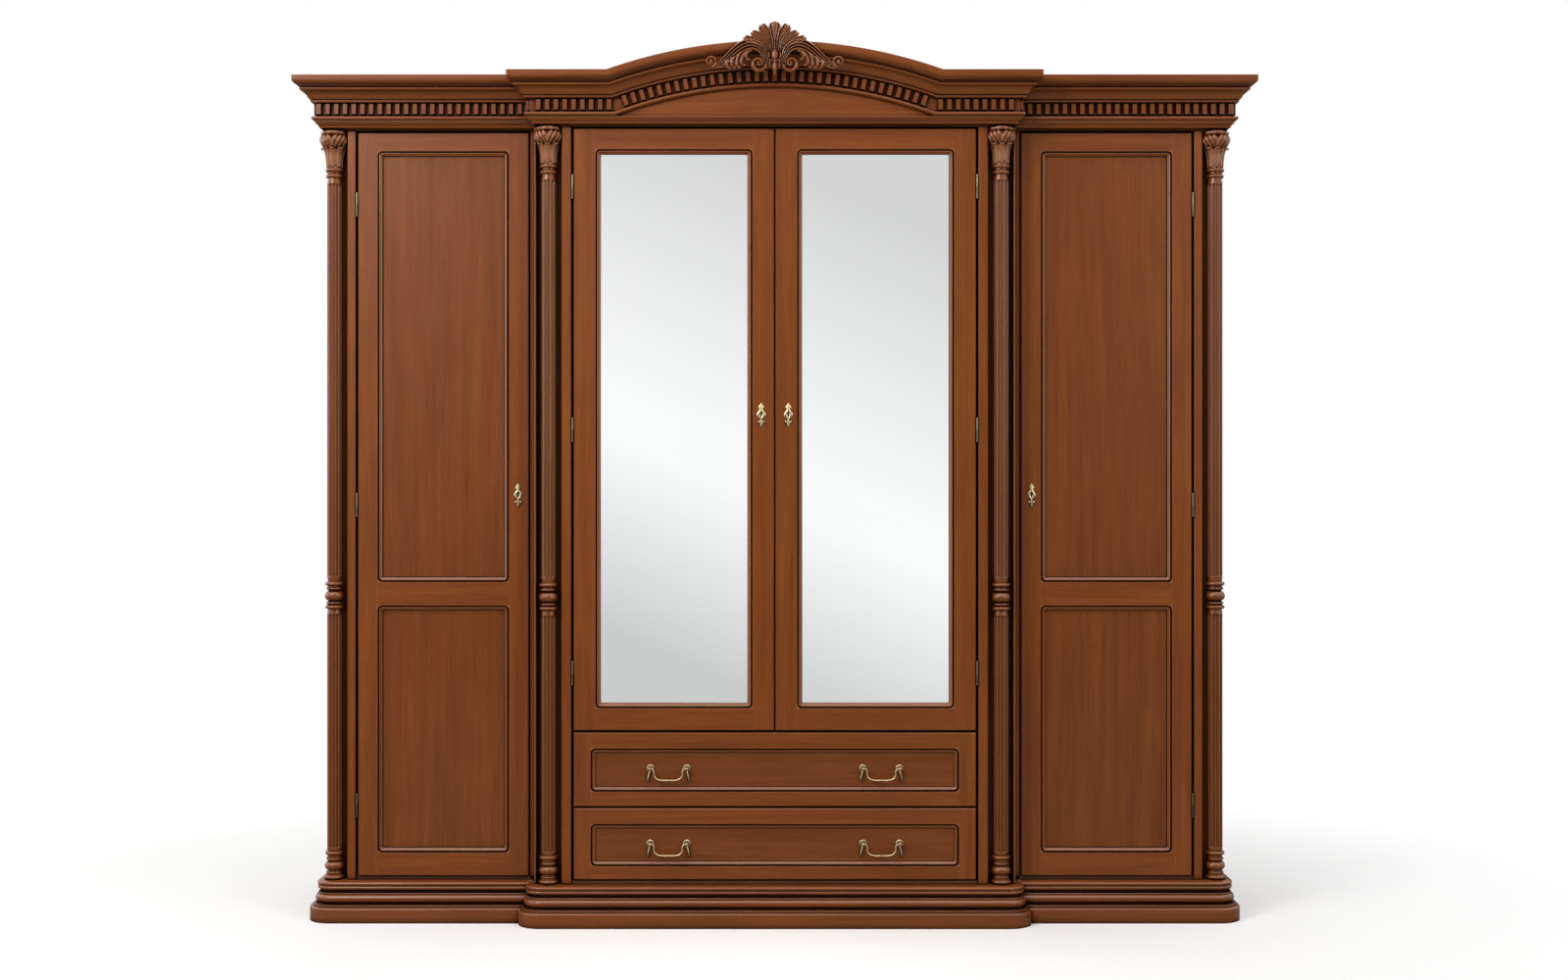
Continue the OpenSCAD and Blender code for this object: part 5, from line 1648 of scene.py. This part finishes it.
class ARMOIRE_OT_stage(bpy.types.Operator):
    """Sets the pale floor, the soft lights and the camera"""

    bl_idname = "armoire.stage"
    bl_label = "Stage"

    def execute(self, context):
        mesh = bpy.data.meshes.new("floor")
        mesh.from_pydata([(-9, -4.85, 0), (9, -4.85, 0), (9, 12, 0), (-9, 12, 0)], [], [(0, 1, 2, 3)])
        floor = loose_object("floor", mesh)
        material, nodes, shader = new_material("Pale floor")
        place = nodes.add("ShaderNodeTexCoord").outputs["Object"]
        cloud = nodes.between(nodes.noise(place, 0.7, 2.0), 0.3, 0.7)
        direct = nodes.add("ShaderNodeLightPath").outputs["Is Camera Ray"]
        pale = nodes.mix(cloud, (0.93, 0.93, 0.925, 1), (0.95, 0.95, 0.945, 1))
        seen = nodes.mix(direct, (0.30, 0.29, 0.28, 1), pale)
        reach = nodes.add("ShaderNodeVectorMath", {0: nodes.stretched(place, (0.8, 1.0, 0.0))},
                          operation="LENGTH").outputs["Value"]
        far = nodes.between(reach, 0.5, 2.0)
        nodes.put(shader.inputs["Base Color"], nodes.mix(far, seen, (0, 0, 0, 1)))
        nodes.put(shader.inputs["Emission Color"], seen)
        nodes.put(shader.inputs["Emission Strength"], nodes.math("MULTIPLY", far, 1.04))
        shader.inputs["Roughness"].default_value = 0.85
        shader.inputs["Specular IOR Level"].default_value = 0.1
        mesh.materials.append(material)
        sky()
        area_light("key", (-2.9, -3.6, 3.4), (-0.3, 0, 1.3), (1.8, 1.8), 150, (1, 0.985, 0.965))
        area_light("fill", (3.8, -4.4, 2.4), (0.3, 0, 1.0), (2.4, 2.4), 88, (0.97, 0.985, 1))
        area_light("top", (0, -1.6, 4.6), (0, 0, 1.2), (4.0, 1.6), 55)
        area_light("back", (0, 4.5, 3.5), (0, 0.3, 1.0), (4.0, 2.0), 45)
        data = bpy.data.cameras.new("camera")
        data.lens, data.sensor_width = 44.1, 36
        data.shift_x, data.shift_y = 0.0028, -0.0062
        data.clip_end = 100
        camera = loose_object("camera", data)
        camera.location = (0.012, CENTRE_FACE - 4.8, 1.1115)
        camera.rotation_euler = (math.pi / 2, 0, 0)
        scene = context.scene
        scene.camera = camera
        scene.view_settings.view_transform = "Standard"
        return {"FINISHED"}


PIECES = (ARMOIRE_OT_base, ARMOIRE_OT_carcass, ARMOIRE_OT_wing_doors, ARMOIRE_OT_mirror_doors,
          ARMOIRE_OT_drawer_fronts, ARMOIRE_OT_cornice, ARMOIRE_OT_dentils, ARMOIRE_OT_columns,
          ARMOIRE_OT_capitals, ARMOIRE_OT_crest, ARMOIRE_OT_locks, ARMOIRE_OT_handles, ARMOIRE_OT_screws,
          ARMOIRE_OT_frame_finishes, ARMOIRE_OT_stage)


SETTINGS = (("armoire_wood", WoodSettings), ("armoire_metal", MetalSettings),
            ("armoire_shape", ShapeSettings))


class ARMOIRE_PT_panel(bpy.types.Panel):
    """Lists the armoire's settings and its pieces"""

    bl_idname = "ARMOIRE_PT_panel"
    bl_label = "Armoire"
    bl_space_type = "VIEW_3D"
    bl_region_type = "UI"
    bl_category = "Armoire"

    def draw(self, context):
        column = self.layout.column()
        for place, kind in SETTINGS:
            for name in kind.__annotations__:
                column.prop(getattr(context.scene, place), name)
        for piece in PIECES:
            column.operator(piece.bl_idname)


def register():
    for name, settings in SETTINGS:
        bpy.utils.register_class(settings)
        setattr(bpy.types.Scene, name, bpy.props.PointerProperty(type=settings))
    for item in PIECES + (ARMOIRE_PT_panel,):
        bpy.utils.register_class(item)


def unregister():
    for item in reversed(PIECES + (ARMOIRE_PT_panel,)):
        bpy.utils.unregister_class(item)
    for name, settings in reversed(SETTINGS):
        delattr(bpy.types.Scene, name)
        bpy.utils.unregister_class(settings)


def main():
    register()
    for piece in PIECES:
        group_name, name = piece.bl_idname.split(".")
        getattr(getattr(bpy.ops, group_name), name)()


if __name__ == "__main__":
    main()
